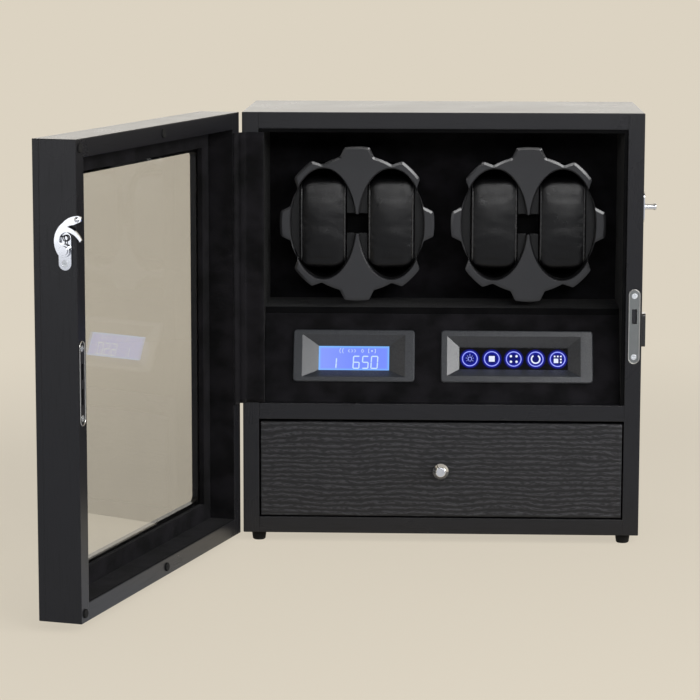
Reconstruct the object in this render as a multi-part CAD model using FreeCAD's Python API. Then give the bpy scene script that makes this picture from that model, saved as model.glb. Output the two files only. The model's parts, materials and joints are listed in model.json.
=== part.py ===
import os
from math import asin, cos, degrees, radians, sin, tan

import FreeCAD
import Part

V = FreeCAD.Vector
X_AXIS = V(1, 0, 0)
Y_AXIS = V(0, 1, 0)
Z_AXIS = V(0, 0, 1)
TO_LEFT = V(-1, 0, 0)
TO_FRONT = V(0, -1, 0)

# Everything is drawn with x = 0 in the cabinet's middle, y = 0 on its front face going back,
# and z = 0 on its underside. The last step moves it so that the origin is at the middle of
# the four feet, on the ground.

# Cabinet carcass
CAB_W = 320.0
CAB_H = 341.0
CAB_D = 155.0
BOARD = 13.0
EDGE_ROUND = 0.8
DIVIDER_Z = 93.5
REAR_COVER_T = 4.0
REBATE = 6.0
FOOT_H = 8.0
FOOT_R = 6.2
FOOT_INSET = 12.0
FOOT_BEVEL = 0.8
FOOT_TAPER = 1.0
REAR_SCREW_Z = (24.0, 120.0, 220.0, 317.0)

# Room round a piece that sits in a recess, and how far a cutter passes through a face
FITTING_ROOM = 0.2
RECESS_ROOM = 0.1
THROUGH = 1.0

# Lengths that differ by less than this count as equal
SAME = 0.01

# Linings and console of the upper compartment
LINING = 3.0
LINING_SETBACK = 0.5
BACK_PANEL_Y = 98.0
BACK_PANEL_T = 8.0
CONSOLE_Y = 6.0
CONSOLE_TILT = 23.5
CONSOLE_RISE = 73.5
CONSOLE_T = 5.0

# Display and touch bezels, measured along the slanted console panel
BEZEL_LOW = 17.0
BEZEL_HIGH = 60.5
BEZEL_PROUD = 2.0
BEZEL_CORNER = 3.0
BEZEL_CHAMFER = 0.7
BEZEL_BODY_INSET = 4.0
FUNNEL_DEPTH = 8.0
WINDOW_LIP = 1.0
MODULE_T = 6.0
MODULE_EDGE = 4.0
DISPLAY_X = (-120.5, -21.8)
DISPLAY_FUNNEL = (-113.0, -29.6, 20.8, 56.4)
DISPLAY_WINDOW = (-100.0, -42.6, 28.2, 48.6)
TOUCH_X = (-0.6, 122.5)
TOUCH_FUNNEL = (4.5, 112.5, 22.2, 55.6)
TOUCH_WINDOW = (14.4, 102.5, 29.6, 48.2)

# Winding rotors
ROTOR_X = 69.7
ROTOR_Z = 247.7
ROTOR_Y = 42.0
ROTOR_PLATE_T = 5.5
ROTOR_R = 63.0
ROTOR_VALLEY_R = 56.0
TEETH = 8
TOOTH_TOP_ANGLE = 9.2
TOOTH_BASE_ANGLE = 14.5
TOOTH_FILLET = 2.2
BORDER_W = 2.0
BORDER_DROP = 0.45
POCKET_X = 27.7
POCKET_OVAL = (26.6, 45.0)
TUB_HALF_W = 19.1
TUB_LEDGE = 0.4
POCKET_FLOOR_Y = 88.0
POCKET_WALL = 2.2
OVAL_WALL = 1.2
OVAL_CHAMFER = 1.0
RECESS_Y = 50.0
FACE_END_Y = 52.2
SLOT_HALF_HEIGHT = 8.0
SLOT_END_Y = 64.0
ROTOR_BOSS_R = 9.0
ROTOR_BOSS_END_Y = 95.0
ROTOR_HUB_HALF_HEIGHT = 18.0
ROTOR_RIM_INSET = 0.6
PLATE_OVERLAP = 1.0
SHAFT_R = 3.0
SHAFT_START_Y = 76.0
SHAFT_END_Y = 147.0
SEAT_CLEARANCE = 0.02
RUNNING_CLEARANCE = 0.05

# Cuff pillows
PILLOW_HALF = (18.4, 22.0, 37.4)
PILLOW_MIDDLE_Y = 63.0
PILLOW_CORNER = 17.0
PILLOW_CROWN = (
    (-1.0, 3.0, 7.0),
    (-0.9, 1.0, 3.6),
    (-0.7, 0.4, 1.1),
    (0.0, 0.0, 0.0),
    (0.7, 0.4, 1.1),
    (0.9, 1.0, 3.6),
    (1.0, 3.0, 7.0),
)

# Belt drive behind the inner back panel
PULLEY_Y = 136.0
PULLEY_T = 7.0
GROOVE_W = 3.4
BELT_T = 2.4
BELT_GAP = 0.3
DRIVEN_GROOVE_R = 18.6
DRIVEN_RIM_R = 22.0
MOTOR_GROOVE_R = 5.6
MOTOR_RIM_R = 9.0
DRIVE_DISTANCE = 52.0
MOTOR_R = 12.5
MOTOR_L = 26.0
MOTOR_SHAFT_R = 1.5
MOTOR_SHAFT_DEPTH = 8.0
MOTOR_BORE_DEPTH = 9.0
MOTOR_EAR = (34.0, 14.0, 2.0)
BUSHING_R = 5.0
BUSHING_FLANGE_R = 8.0
BUSHING_FLANGE_T = 2.0
BUSHING_PROUD = 1.0

# Control board and power inlet
BOARD_X = 70.0
BOARD_Y = (46.0, 90.0)
BOARD_LIFT = 6.0
BOARD_T = 1.6
POST_INSET = 6.0
POST_R = 2.5
CHIP = (-12.0, 8.0, 60.0, 76.0, 3.0)
RELAY = (-56.0, -40.0, 54.0, 66.0, 8.0)
CAPACITOR_XY = (40.0, 68.0)
CAPACITOR_R = 5.0
CAPACITOR_H = 12.0
INLET_X = -110.0
INLET_Z = 125.0
INLET_BARREL_R = 4.0
INLET_FLANGE_R = 6.5
INLET_BORE_R = 2.8
INLET_PIN_R = 1.0
INLET_DEPTH = 9.0
INLET_RING_T = 1.5
INLET_BODY_L = 12.0
INLET_OVERLAP = 8.0

# Drawer
DRAWER_GAP = 1.2
DRAWER_TOP_GAP = 2.2
DRAWER_FRONT_T = 12.0
DRAWER_SIDE_T = 8.0
DRAWER_SIDE_GAP = 5.0
DRAWER_LENGTH = 138.0
DRAWER_SIDE_TOP = 72.0
DRAWER_FLOOR_T = 4.0
DRAWER_FLOOR_LIFT = 1.0
LINER_DROP = 2.0
LINER_T = 1.5
KNOB_Z = 53.0

# Door
DOOR_T = 33.0
DOOR_GAP = 2.0
DOOR_OPEN = 106.0
DOOR_FRAME_W = 13.0
FACE_T = 5.0
GLASS_T = 3.0
BEAD_T = 4.0
BEAD_W = 14.0
WINDOW_HALF_W = 132.0
WINDOW_Z = (30.0, 311.0)
WINDOW_CORNER = 5.0
BUMPER_R = 3.3
BUMPER_PROUD = 1.3
BUMPER_EDGE = 6.4
BUMPER_BEVEL = (0.6, 0.5)
GLASS_ROOM = 0.3

# Hinges and the velvet strip that covers them
HINGE_X = -161.0
HINGE_Y = -1.0
HINGE_Z = (150.0, 280.0)
HINGE_H = 40.0
HINGE_LEAF_T = 1.2
HINGE_LEAF_W = 11.0
KNUCKLE_R = 2.4
KNUCKLE_ROOM = 0.3
HINGE_PIN_R = 1.2
COVER_T = 0.5
COVER_LIFT = 0.5

# Swing hook clasp on the door's free edge, and its stud on the right wall
CLASP_Y = -10.4
CLASP_Z = 264.4
CLASP_PLATE_T = 1.4
CLASP_PLATE_R = 4.7
CLASP_PLATE_DROP = 9.2
CLASP_PLATE_RISE = 13.0
CLASP_HOOK_T = 2.0
CLASP_HOOK_LIFT = 0.3
CLASP_PIN_R = 1.8
CLASP_HEAD_R = 3.2
CLASP_HEAD_T = 0.8
STUD_Y = 9.0
STUD_Z = 266.3
STUD_R = 2.9
STUD_L = 9.6
STUD_PLATE_T = 1.0
STUD_PLATE_HALF = (5.0, 12.4)
STUD_SCREW_Z = 8.4
STUD_WAIST = 0.4

# Lock in the right wall and strike plate on the door
LOCK_X = 153.9
LOCK_Z = 170.7
LOCK_PLATE_HALF = (4.7, 30.2)
LOCK_PLATE_T = 1.2
LOCK_PLATE_PROUD = 0.3
LOCK_SCREW_Z = 24.6
BOLT_Z = 178.8
BOLT_HALF = (1.7, 5.6)
BOLT_L = 24.0
BOLT_ROOM = 0.3
BOLT_SETBACK = 3.0
BOLT_MOUTH_CORNER = 0.5
LOCK_CASE_HALF = (4.5, 22.5)
LOCK_CASE_L = 30.0
LOCK_CASE_WALL = 1.0
PLUG_Y = 14.0
PLUG_Z = 166.7
PLUG_R = 4.0
PLUG_ROOM = 0.1
CAM_REACH = 6.0
CAM_T = 2.0
CAM_HALF_HEIGHT = 1.5
KEYWAY_HALF = (0.6, 2.6)
KEYWAY_DEPTH = 4.0
ESCUTCHEON_T = 3.4
ESCUTCHEON_HALF = (7.0, 13.4)
ESCUTCHEON_CORNER = 2.0
STRIKE_POCKET = 10.0
STRIKE_CORNER = 1.0
LOWER_SLOT_Z = 161.0

# Small screws
SCREW_HEAD_R = 2.3
SCREW_HEAD_T = 1.0
SCREW_SHANK_R = 1.2
SCREW_L = 9.0
SCREW_ROOM = 0.05
CROSS_HALF = (1.35, 0.28)
CROSS_DEPTH = 0.75

# Worked out from the sizes above
HALF_W = CAB_W / 2
INNER_X = HALF_W - BOARD
DIVIDER_TOP = DIVIDER_Z + BOARD
CEILING_Z = CAB_H - BOARD
REAR_Y = CAB_D - REAR_COVER_T
LINED_X = INNER_X - LINING
LINED_TOP = CEILING_Z - LINING
CONSOLE_TOP = DIVIDER_TOP + CONSOLE_RISE
DOOR_INNER_Y = -DOOR_GAP
DOOR_OUTER_Y = -DOOR_GAP - DOOR_T
FACE_BACK_Y = DOOR_OUTER_Y + FACE_T
GLASS_BACK_Y = FACE_BACK_Y + GLASS_T
BELT_Y = PULLEY_Y + PULLEY_T / 2
ORIGIN_SHIFT = V(0, -CAB_D / 2, FOOT_H)


def box(x0, x1, y0, y1, z0, z1):
    return Part.makeBox(x1 - x0, y1 - y0, z1 - z0, V(x0, y0, z0))


def rod(x, y, z, axis, radius, length):
    return Part.makeCylinder(radius, length, V(x, y, z), axis)


def fuse(shapes):
    whole = shapes[0]
    for shape in shapes[1:]:
        whole = whole.fuse(shape)
    return whole.removeSplitter()


def cut(shape, tools):
    for tool in tools:
        shape = shape.cut(tool)
    return shape


def rounded_outline(half_a, half_b, corner, place):
    """A rounded rectangle of quarter arcs and lines, put in space by place(a, b)."""
    arcs = []
    for quarter in range(4):
        side_a = 1 if quarter in (0, 3) else -1
        side_b = 1 if quarter in (0, 1) else -1
        points = []
        for step in range(3):
            angle = radians(90 * quarter + 45 * step)
            a = side_a * (half_a - corner) + corner * cos(angle)
            b = side_b * (half_b - corner) + corner * sin(angle)
            points.append(place(a, b))
        arcs.append(points)
    edges = []
    for quarter in range(4):
        start, middle, end = arcs[quarter]
        following = arcs[(quarter + 1) % 4][0]
        edges.append(Part.Arc(start, middle, end).toShape())
        if (following - end).Length > SAME:
            edges.append(Part.makeLine(end, following))
    return Part.Wire(edges)


def slab(x, z, half_w, half_h, corner, y0, y1):
    """A plate with rounded corners that faces along Y."""
    wire = rounded_outline(half_w, half_h, corner, lambda a, b: V(x + a, y0, z + b))
    return Part.Face(wire).extrude(V(0, y1 - y0, 0))


def side_slab(y, z, half_w, half_h, corner, x0, x1):
    """A plate with rounded corners that faces along X."""
    wire = rounded_outline(half_w, half_h, corner, lambda a, b: V(x0, y + a, z + b))
    return Part.Face(wire).extrude(V(x1 - x0, 0, 0))


def oval(x, z, half_w, half_h, y):
    """An ellipse that stands upright in a plane of constant y."""
    curve = Part.Ellipse(V(x, y, z + half_h), V(x + half_w, y, z), V(x, y, z))
    return Part.Wire([curve.toShape()])


def turned(profile, centre, axis):
    """A round piece from (radius, height) points, turned about an axis through centre."""
    points = [V(radius, 0, height) for radius, height in profile]
    face = Part.Face(Part.makePolygon(points + [points[0]]))
    return aimed(face.revolve(V(0, 0, 0), Z_AXIS, 360), centre, axis)


def aimed(solid, centre, axis):
    """Turns a piece that stands along Z so that it runs along axis from centre."""
    lean = FreeCAD.Rotation(Z_AXIS, axis)
    solid.rotate(V(0, 0, 0), lean.Axis, degrees(lean.Angle))
    solid.translate(centre)
    return solid


def round_edges(shape, radius, chosen):
    edges = [edge for edge in shape.Edges if chosen(edge)]
    return shape.makeFillet(radius, edges)


def screw(x, y, z, axis):
    """A cross-head countersunk screw: its flat head lies at the point, its shank runs along axis."""
    profile = [
        (0, 0),
        (SCREW_HEAD_R, 0),
        (SCREW_SHANK_R, SCREW_HEAD_T),
        (SCREW_SHANK_R, SCREW_L),
        (0, SCREW_L),
    ]
    body = turned(profile, V(0, 0, 0), Z_AXIS)
    reach, half_w = CROSS_HALF
    for half_a, half_b in ((reach, half_w), (half_w, reach)):
        body = body.cut(box(-half_a, half_a, -half_b, half_b, -THROUGH, CROSS_DEPTH))
    return aimed(body, V(x, y, z), axis)


def screw_hole(x, y, z, axis):
    """The hole that such a screw fills, a little wider than the screw."""
    profile = [
        (0, -THROUGH),
        (SCREW_HEAD_R + SCREW_ROOM, -THROUGH),
        (SCREW_HEAD_R + SCREW_ROOM, 0),
        (SCREW_SHANK_R + SCREW_ROOM, SCREW_HEAD_T),
        (SCREW_SHANK_R + SCREW_ROOM, SCREW_L + SCREW_ROOM),
        (0, SCREW_L + SCREW_ROOM),
    ]
    return turned(profile, V(x, y, z), axis)


# Where the screws sit: point and direction of the shank
REAR_SCREW_X = INNER_X + REBATE / 2
REAR_SCREWS = [(side * REAR_SCREW_X, CAB_D, z) for side in (-1, 1) for z in REAR_SCREW_Z]
LOCK_SCREWS = [(LOCK_X, -LOCK_PLATE_PROUD, LOCK_Z + side * LOCK_SCREW_Z) for side in (-1, 1)]
STRIKE_FACE_Y = DOOR_INNER_Y + LOCK_PLATE_PROUD
STRIKE_SCREWS = [(LOCK_X, STRIKE_FACE_Y, LOCK_Z + side * LOCK_SCREW_Z) for side in (-1, 1)]
CLASP_SCREW = (HALF_W + CLASP_PLATE_T, CLASP_Y, CLASP_Z - CLASP_PLATE_DROP)
STUD_SCREWS = [(HALF_W + STUD_PLATE_T, STUD_Y, STUD_Z + side * STUD_SCREW_Z) for side in (-1, 1)]


def rear_cover_blank(room):
    reach = INNER_X + REBATE + room
    return box(-reach, reach, REAR_Y, CAB_D, BOARD - REBATE - room, CEILING_Z + REBATE + room)


def hinge_room(side_y0, side_y1):
    """What a wall or stile loses to a pair of hinges: the leaf's recess and the knuckle's hollow."""
    room = []
    for z in HINGE_Z:
        low = z - HINGE_H / 2 - KNUCKLE_ROOM
        high = z + HINGE_H / 2 + KNUCKLE_ROOM
        room.append(box(HINGE_X, HINGE_X + HINGE_LEAF_W + KNUCKLE_ROOM, side_y0, side_y1, low, high))
        room.append(rod(HINGE_X, HINGE_Y, low, Z_AXIS, KNUCKLE_R + KNUCKLE_ROOM, high - low))
    return room


def lock_recess(y0, y1):
    """The shallow recess that a lock plate or strike plate is let into."""
    half_w = LOCK_PLATE_HALF[0] + RECESS_ROOM
    half_h = LOCK_PLATE_HALF[1] + RECESS_ROOM
    return slab(LOCK_X, LOCK_Z, half_w, half_h, half_w, y0, y1)


def cabinet_walls():
    left = box(-HALF_W, -INNER_X, 0, CAB_D, 0, CAB_H)
    right = box(INNER_X, HALF_W, 0, CAB_D, 0, CAB_H)

    def outside(edge):
        on_side = abs(abs(edge.CenterOfMass.x) - HALF_W) < SAME
        return on_side and edge.Length > 2 * BOARD
    left = round_edges(left, EDGE_ROUND, outside)
    right = round_edges(right, EDGE_ROUND, outside)
    cover = rear_cover_blank(FITTING_ROOM)
    rear_holes = [screw_hole(*point, TO_FRONT) for point in REAR_SCREWS]
    left = cut(left, [cover] + rear_holes + hinge_room(0, HINGE_LEAF_T + RECESS_ROOM))
    case = lock_case_blank(FITTING_ROOM)
    plate = lock_recess(-THROUGH, LOCK_PLATE_T - LOCK_PLATE_PROUD)
    plug = rod(LOCK_X, PLUG_Y, PLUG_Z, X_AXIS, PLUG_R + 2 * PLUG_ROOM, 2 * BOARD)
    lock_holes = [screw_hole(*point, Y_AXIS) for point in LOCK_SCREWS]
    stud_holes = [screw_hole(*point, TO_LEFT) for point in STUD_SCREWS]
    right = cut(right, [cover, case, plate, plug] + rear_holes + lock_holes + stud_holes)
    return left, right


def cabinet_boards():
    cover = rear_cover_blank(FITTING_ROOM)
    top = box(-INNER_X, INNER_X, 0, CAB_D, CEILING_Z, CAB_H)
    bottom = box(-INNER_X, INNER_X, 0, CAB_D, 0, BOARD)
    divider = box(-INNER_X, INNER_X, 0, REAR_Y, DIVIDER_Z, DIVIDER_TOP)
    return top.cut(cover), bottom.cut(cover), divider


def rear_cover():
    hole_r = INLET_BARREL_R + SEAT_CLEARANCE
    hole = rod(INLET_X, REAR_Y - THROUGH, INLET_Z, Y_AXIS, hole_r, REAR_COVER_T + 2 * THROUGH)
    holes = [screw_hole(*point, TO_FRONT) for point in REAR_SCREWS]
    return cut(rear_cover_blank(0), [hole] + holes)


def feet():
    """Four turned rubber feet, a little narrower at the ground."""
    profile = [
        (0, 0),
        (FOOT_R - FOOT_TAPER - FOOT_BEVEL, 0),
        (FOOT_R - FOOT_TAPER, FOOT_BEVEL),
        (FOOT_R, FOOT_H),
        (0, FOOT_H),
    ]
    solids = []
    for x in (-HALF_W + FOOT_INSET, HALF_W - FOOT_INSET):
        for y in (FOOT_INSET, CAB_D - FOOT_INSET):
            solids.append(turned(profile, V(x, y, -FOOT_H), Z_AXIS))
    return Part.makeCompound(solids)


def linings():
    front = LINING_SETBACK
    left = box(-INNER_X, -LINED_X, front, BACK_PANEL_Y, DIVIDER_TOP, LINED_TOP)
    right = box(LINED_X, INNER_X, front, BACK_PANEL_Y, DIVIDER_TOP, LINED_TOP)
    ceiling = box(-INNER_X, INNER_X, front, BACK_PANEL_Y, LINED_TOP, CEILING_Z)
    return Part.makeCompound([left, right]), ceiling


def inner_back_panel():
    panel = box(-INNER_X, INNER_X, BACK_PANEL_Y, BACK_PANEL_Y + BACK_PANEL_T, DIVIDER_TOP, CEILING_Z)
    front = BACK_PANEL_Y - THROUGH
    depth = BACK_PANEL_T + 2 * THROUGH
    hole_r = BUSHING_R + SEAT_CLEARANCE
    holes = [rod(side * ROTOR_X, front, ROTOR_Z, Y_AXIS, hole_r, depth) for side in (-1, 1)]
    return cut(panel, holes)


def on_console(shape):
    """Leans an upright piece back onto the slanted console panel."""
    shape.rotate(V(0, 0, 0), X_AXIS, -CONSOLE_TILT)
    shape.translate(V(0, CONSOLE_Y, DIVIDER_TOP))
    return shape


def console_line(z):
    """How far back the console's face lies at a height above the divider."""
    return CONSOLE_Y + z * tan(radians(CONSOLE_TILT))


def across(points, half_width):
    """A prism across the cabinet from a (y, z) outline."""
    corners = [V(-half_width, y, z) for y, z in points]
    return Part.Face(Part.makePolygon(corners + [corners[0]])).extrude(V(2 * half_width, 0, 0))


def bezel_body(span, room):
    x0, x1 = span
    inset = BEZEL_BODY_INSET - room
    return box(x0 + inset, x1 - inset, 0, FUNNEL_DEPTH + MODULE_T, BEZEL_LOW + inset, BEZEL_HIGH - inset)


def console():
    thick = CONSOLE_T / cos(radians(CONSOLE_TILT))
    joint_rise = CONSOLE_RISE - CONSOLE_T
    joint_y = console_line(joint_rise)
    joint_z = DIVIDER_TOP + joint_rise
    panel = across([
        (CONSOLE_Y, DIVIDER_TOP),
        (CONSOLE_Y + thick, DIVIDER_TOP),
        (joint_y + thick, joint_z),
        (joint_y, joint_z),
    ], LINED_X)
    panel = cut(panel, [on_console(bezel_body(span, FITTING_ROOM)) for span in (DISPLAY_X, TOUCH_X)])
    shelf = across([
        (joint_y, joint_z),
        (BACK_PANEL_Y, joint_z),
        (BACK_PANEL_Y, CONSOLE_TOP),
        (console_line(CONSOLE_RISE), CONSOLE_TOP),
    ], LINED_X)
    return panel, shelf


def rectangle_wire(limits, y):
    x0, x1, z0, z1 = limits
    return Part.makePolygon([V(x0, y, z0), V(x1, y, z0), V(x1, y, z1), V(x0, y, z1), V(x0, y, z0)])


def bezel(span, funnel, window):
    """A moulded frame whose face slopes down to a window, and the flat module behind the window."""
    x0, x1 = span
    half_w = (x1 - x0) / 2
    half_h = (BEZEL_HIGH - BEZEL_LOW) / 2
    middle_x = (x0 + x1) / 2
    middle_z = (BEZEL_HIGH + BEZEL_LOW) / 2
    floor_y = FUNNEL_DEPTH - WINDOW_LIP - BEZEL_PROUD
    back_y = floor_y + WINDOW_LIP
    flange = slab(middle_x, middle_z, half_w, half_h, BEZEL_CORNER, -BEZEL_PROUD, 0)
    front = [edge for edge in flange.Edges if abs(edge.BoundBox.YMax + BEZEL_PROUD) < SAME]
    flange = flange.makeChamfer(BEZEL_CHAMFER, front)
    body = bezel_body(span, 0).common(box(x0, x1, 0, back_y, 0, 2 * BEZEL_HIGH))
    slope = Part.makeLoft([rectangle_wire(funnel, -BEZEL_PROUD), rectangle_wire(window, floor_y)], True)
    wx0, wx1, wz0, wz1 = window
    opening = box(wx0, wx1, floor_y - WINDOW_LIP / 2, back_y + THROUGH, wz0, wz1)
    frame = cut(flange.fuse(body), [slope, opening]).removeSplitter()
    module = box(wx0 - MODULE_EDGE, wx1 + MODULE_EDGE, back_y, back_y + MODULE_T,
                 wz0 - MODULE_EDGE, wz1 + MODULE_EDGE)
    return on_console(frame), on_console(module)


def grown(halves, wall):
    return halves[0] + wall, halves[1] + wall


def polar(radius, angle, y):
    return V(radius * sin(radians(angle)), y, radius * cos(radians(angle)))


def rotor_plate():
    """The toothed front plate, centred on the rotor's axis."""
    edges = []
    pitch = 360 / TEETH
    for tooth in range(TEETH):
        middle = pitch * tooth
        rise = polar(ROTOR_VALLEY_R, middle - TOOTH_BASE_ANGLE, ROTOR_Y)
        top_start = polar(ROTOR_R, middle - TOOTH_TOP_ANGLE, ROTOR_Y)
        top_end = polar(ROTOR_R, middle + TOOTH_TOP_ANGLE, ROTOR_Y)
        fall = polar(ROTOR_VALLEY_R, middle + TOOTH_BASE_ANGLE, ROTOR_Y)
        following = polar(ROTOR_VALLEY_R, middle + pitch - TOOTH_BASE_ANGLE, ROTOR_Y)
        edges.append(Part.makeLine(rise, top_start))
        edges.append(Part.Arc(top_start, polar(ROTOR_R, middle, ROTOR_Y), top_end).toShape())
        edges.append(Part.makeLine(top_end, fall))
        valley = polar(ROTOR_VALLEY_R, middle + pitch / 2, ROTOR_Y)
        edges.append(Part.Arc(fall, valley, following).toShape())
    plate = Part.Face(Part.Wire(edges)).extrude(V(0, ROTOR_PLATE_T, 0))

    def through_plate(edge):
        return abs(edge.BoundBox.YLength - ROTOR_PLATE_T) < SAME
    plate = round_edges(plate, TOOTH_FILLET, through_plate)
    front = [edge for edge in plate.Edges if abs(edge.BoundBox.YMax - ROTOR_Y) < SAME]
    return plate.makeChamfer(BORDER_DROP, BORDER_W, front)


def oval_block(x, halves, y0, y1, flare=0):
    """An oval block from y0 back to y1, wider by flare at its front."""
    return Part.makeLoft([oval(x, 0, *grown(halves, flare), y0), oval(x, 0, *halves, y1)], True)


def tub_block(x, wall, y0, y1):
    """A pillow's tub grown by its wall: the middle of an oval, a ledge inside the recess."""
    oval_halves = grown(POCKET_OVAL, wall - TUB_LEDGE)
    half_w = TUB_HALF_W + wall
    half_h = oval_halves[1] + THROUGH
    strip = box(x - half_w, x + half_w, y0, y1, -half_h, half_h)
    return oval_block(x, oval_halves, y0, y1).common(strip)


def rotor():
    """The toothed face with two oval recesses, and the cradle of two tubs behind it."""
    back_y = ROTOR_Y + ROTOR_PLATE_T - PLATE_OVERLAP
    end_y = POCKET_FLOOR_Y + POCKET_WALL
    web = POCKET_X - TUB_HALF_W
    hub = box(-web, web, SLOT_END_Y, end_y, -ROTOR_HUB_HALF_HEIGHT, ROTOR_HUB_HALF_HEIGHT)
    boss = rod(0, POCKET_FLOOR_Y, 0, Y_AXIS, ROTOR_BOSS_R, ROTOR_BOSS_END_Y - POCKET_FLOOR_Y)
    rim = rod(0, back_y, 0, Y_AXIS, ROTOR_VALLEY_R - ROTOR_RIM_INSET, POCKET_FLOOR_Y)
    slot = box(-POCKET_X, POCKET_X, ROTOR_Y - THROUGH, SLOT_END_Y, -SLOT_HALF_HEIGHT, SLOT_HALF_HEIGHT)
    bore = rod(0, SHAFT_START_Y, 0, Y_AXIS, SHAFT_R + SEAT_CLEARANCE, ROTOR_BOSS_END_Y)
    face = [rotor_plate()]
    cradle = [hub, boss]
    recesses = []
    tubs = []
    for side in (-1, 1):
        x = side * POCKET_X
        face.append(oval_block(x, grown(POCKET_OVAL, OVAL_WALL), back_y, FACE_END_Y).common(rim))
        face.append(tub_block(x, POCKET_WALL, back_y, FACE_END_Y))
        cradle.append(tub_block(x, POCKET_WALL, FACE_END_Y, end_y))
        recesses.append(oval_block(x, POCKET_OVAL, ROTOR_Y, ROTOR_Y + OVAL_CHAMFER, OVAL_CHAMFER))
        recesses.append(oval_block(x, POCKET_OVAL, ROTOR_Y, RECESS_Y))
        tubs.append(tub_block(x, 0, ROTOR_Y, POCKET_FLOOR_Y))
    return cut(fuse(face), recesses + tubs + [slot]), cut(fuse(cradle), tubs + [slot, bore])


def pulley(rim_r, groove_r, bore_r):
    """A belt pulley on the Y axis."""
    low = (PULLEY_T - GROOVE_W) / 2
    high = (PULLEY_T + GROOVE_W) / 2
    profile = [
        (bore_r, 0),
        (rim_r, 0),
        (rim_r, low),
        (groove_r, low),
        (groove_r, high),
        (rim_r, high),
        (rim_r, PULLEY_T),
        (bore_r, PULLEY_T),
    ]
    return turned(profile, V(0, PULLEY_Y, 0), Y_AXIS)


def rotor_drive():
    """The rotor's steel shaft with the driven pulley pressed onto its rear end."""
    shaft = rod(0, SHAFT_START_Y, 0, Y_AXIS, SHAFT_R, SHAFT_END_Y - SHAFT_START_Y)
    wheel = pulley(DRIVEN_RIM_R, DRIVEN_GROOVE_R, SHAFT_R + SEAT_CLEARANCE)
    return Part.makeCompound([shaft, wheel])


def motor_drive():
    """The motor's output shaft with the small pulley, below the rotor's axis."""
    start = BACK_PANEL_Y + BACK_PANEL_T + MOTOR_L - MOTOR_SHAFT_DEPTH
    shaft = rod(0, start, 0, Y_AXIS, MOTOR_SHAFT_R, SHAFT_END_Y - start)
    wheel = pulley(MOTOR_RIM_R, MOTOR_GROOVE_R, MOTOR_SHAFT_R + SEAT_CLEARANCE)
    drive = Part.makeCompound([shaft, wheel])
    drive.translate(V(0, 0, -DRIVE_DISTANCE))
    return drive


def motor():
    """A geared motor that stands on the back panel by its two ears, shaft to the rear."""
    panel_y = BACK_PANEL_Y + BACK_PANEL_T
    can = rod(0, panel_y, 0, Y_AXIS, MOTOR_R, MOTOR_L)
    width, height, thick = MOTOR_EAR
    ears = box(-width / 2, width / 2, panel_y, panel_y + thick, -height / 2, height / 2)
    bore_y = panel_y + MOTOR_L - MOTOR_BORE_DEPTH
    bore = rod(0, bore_y, 0, Y_AXIS, MOTOR_SHAFT_R + RUNNING_CLEARANCE, MOTOR_BORE_DEPTH + THROUGH)
    whole = fuse([can, ears]).cut(bore)
    whole.translate(V(0, 0, -DRIVE_DISTANCE))
    return whole


def belt_outline(big_r, small_r):
    """The closed line of an open belt round the driven pulley and the motor pulley below it."""
    lean = asin((big_r - small_r) / DRIVE_DISTANCE)
    y = BELT_Y - BELT_T / 2

    def touch(side, radius, drop):
        return V(side * radius * cos(lean), y, -drop - radius * sin(lean))
    big_right = touch(1, big_r, 0)
    big_left = touch(-1, big_r, 0)
    small_right = touch(1, small_r, DRIVE_DISTANCE)
    small_left = touch(-1, small_r, DRIVE_DISTANCE)
    return Part.Wire([
        Part.Arc(big_right, V(0, y, big_r), big_left).toShape(),
        Part.makeLine(big_left, small_left),
        Part.Arc(small_left, V(0, y, -DRIVE_DISTANCE - small_r), small_right).toShape(),
        Part.makeLine(small_right, big_right),
    ])


def belt():
    inner_big = DRIVEN_GROOVE_R + BELT_GAP
    inner_small = MOTOR_GROOVE_R + BELT_GAP
    outer = Part.Face(belt_outline(inner_big + BELT_T, inner_small + BELT_T)).extrude(V(0, BELT_T, 0))
    inner = Part.Face(belt_outline(inner_big, inner_small)).extrude(V(0, BELT_T, 0))
    return outer.cut(inner)


def bushing():
    """A flanged plain bearing pressed into the back panel from the rear."""
    panel_y = BACK_PANEL_Y + BACK_PANEL_T
    sleeve_y = BACK_PANEL_Y - BUSHING_PROUD
    sleeve = rod(0, sleeve_y, 0, Y_AXIS, BUSHING_R, BACK_PANEL_T + BUSHING_PROUD)
    flange = rod(0, panel_y, 0, Y_AXIS, BUSHING_FLANGE_R, BUSHING_FLANGE_T)
    length = BUSHING_PROUD + BACK_PANEL_T + BUSHING_FLANGE_T
    bore = rod(0, sleeve_y - THROUGH, 0, Y_AXIS, SHAFT_R + RUNNING_CLEARANCE, length + 2 * THROUGH)
    return fuse([sleeve, flange]).cut(bore)


def at_rotor(shape, side):
    placed = shape.copy()
    placed.translate(V(side * ROTOR_X, 0, ROTOR_Z))
    return placed


def pair_at_rotors(shape):
    return Part.makeCompound([at_rotor(shape, -1), at_rotor(shape, 1)])


def pillow():
    """A stuffed cuff cushion: full in the middle and drawn in towards its two side panels."""
    half_x, half_y, half_z = PILLOW_HALF
    sections = []
    for share, inset_y, inset_z in PILLOW_CROWN:
        x = share * half_x
        outline = rounded_outline(half_y - inset_y, half_z - inset_z, PILLOW_CORNER - inset_y,
                                  lambda a, b, x=x: V(x, PILLOW_MIDDLE_Y + a, b))
        sections.append(outline)
    return Part.makeLoft(sections, True)


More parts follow.
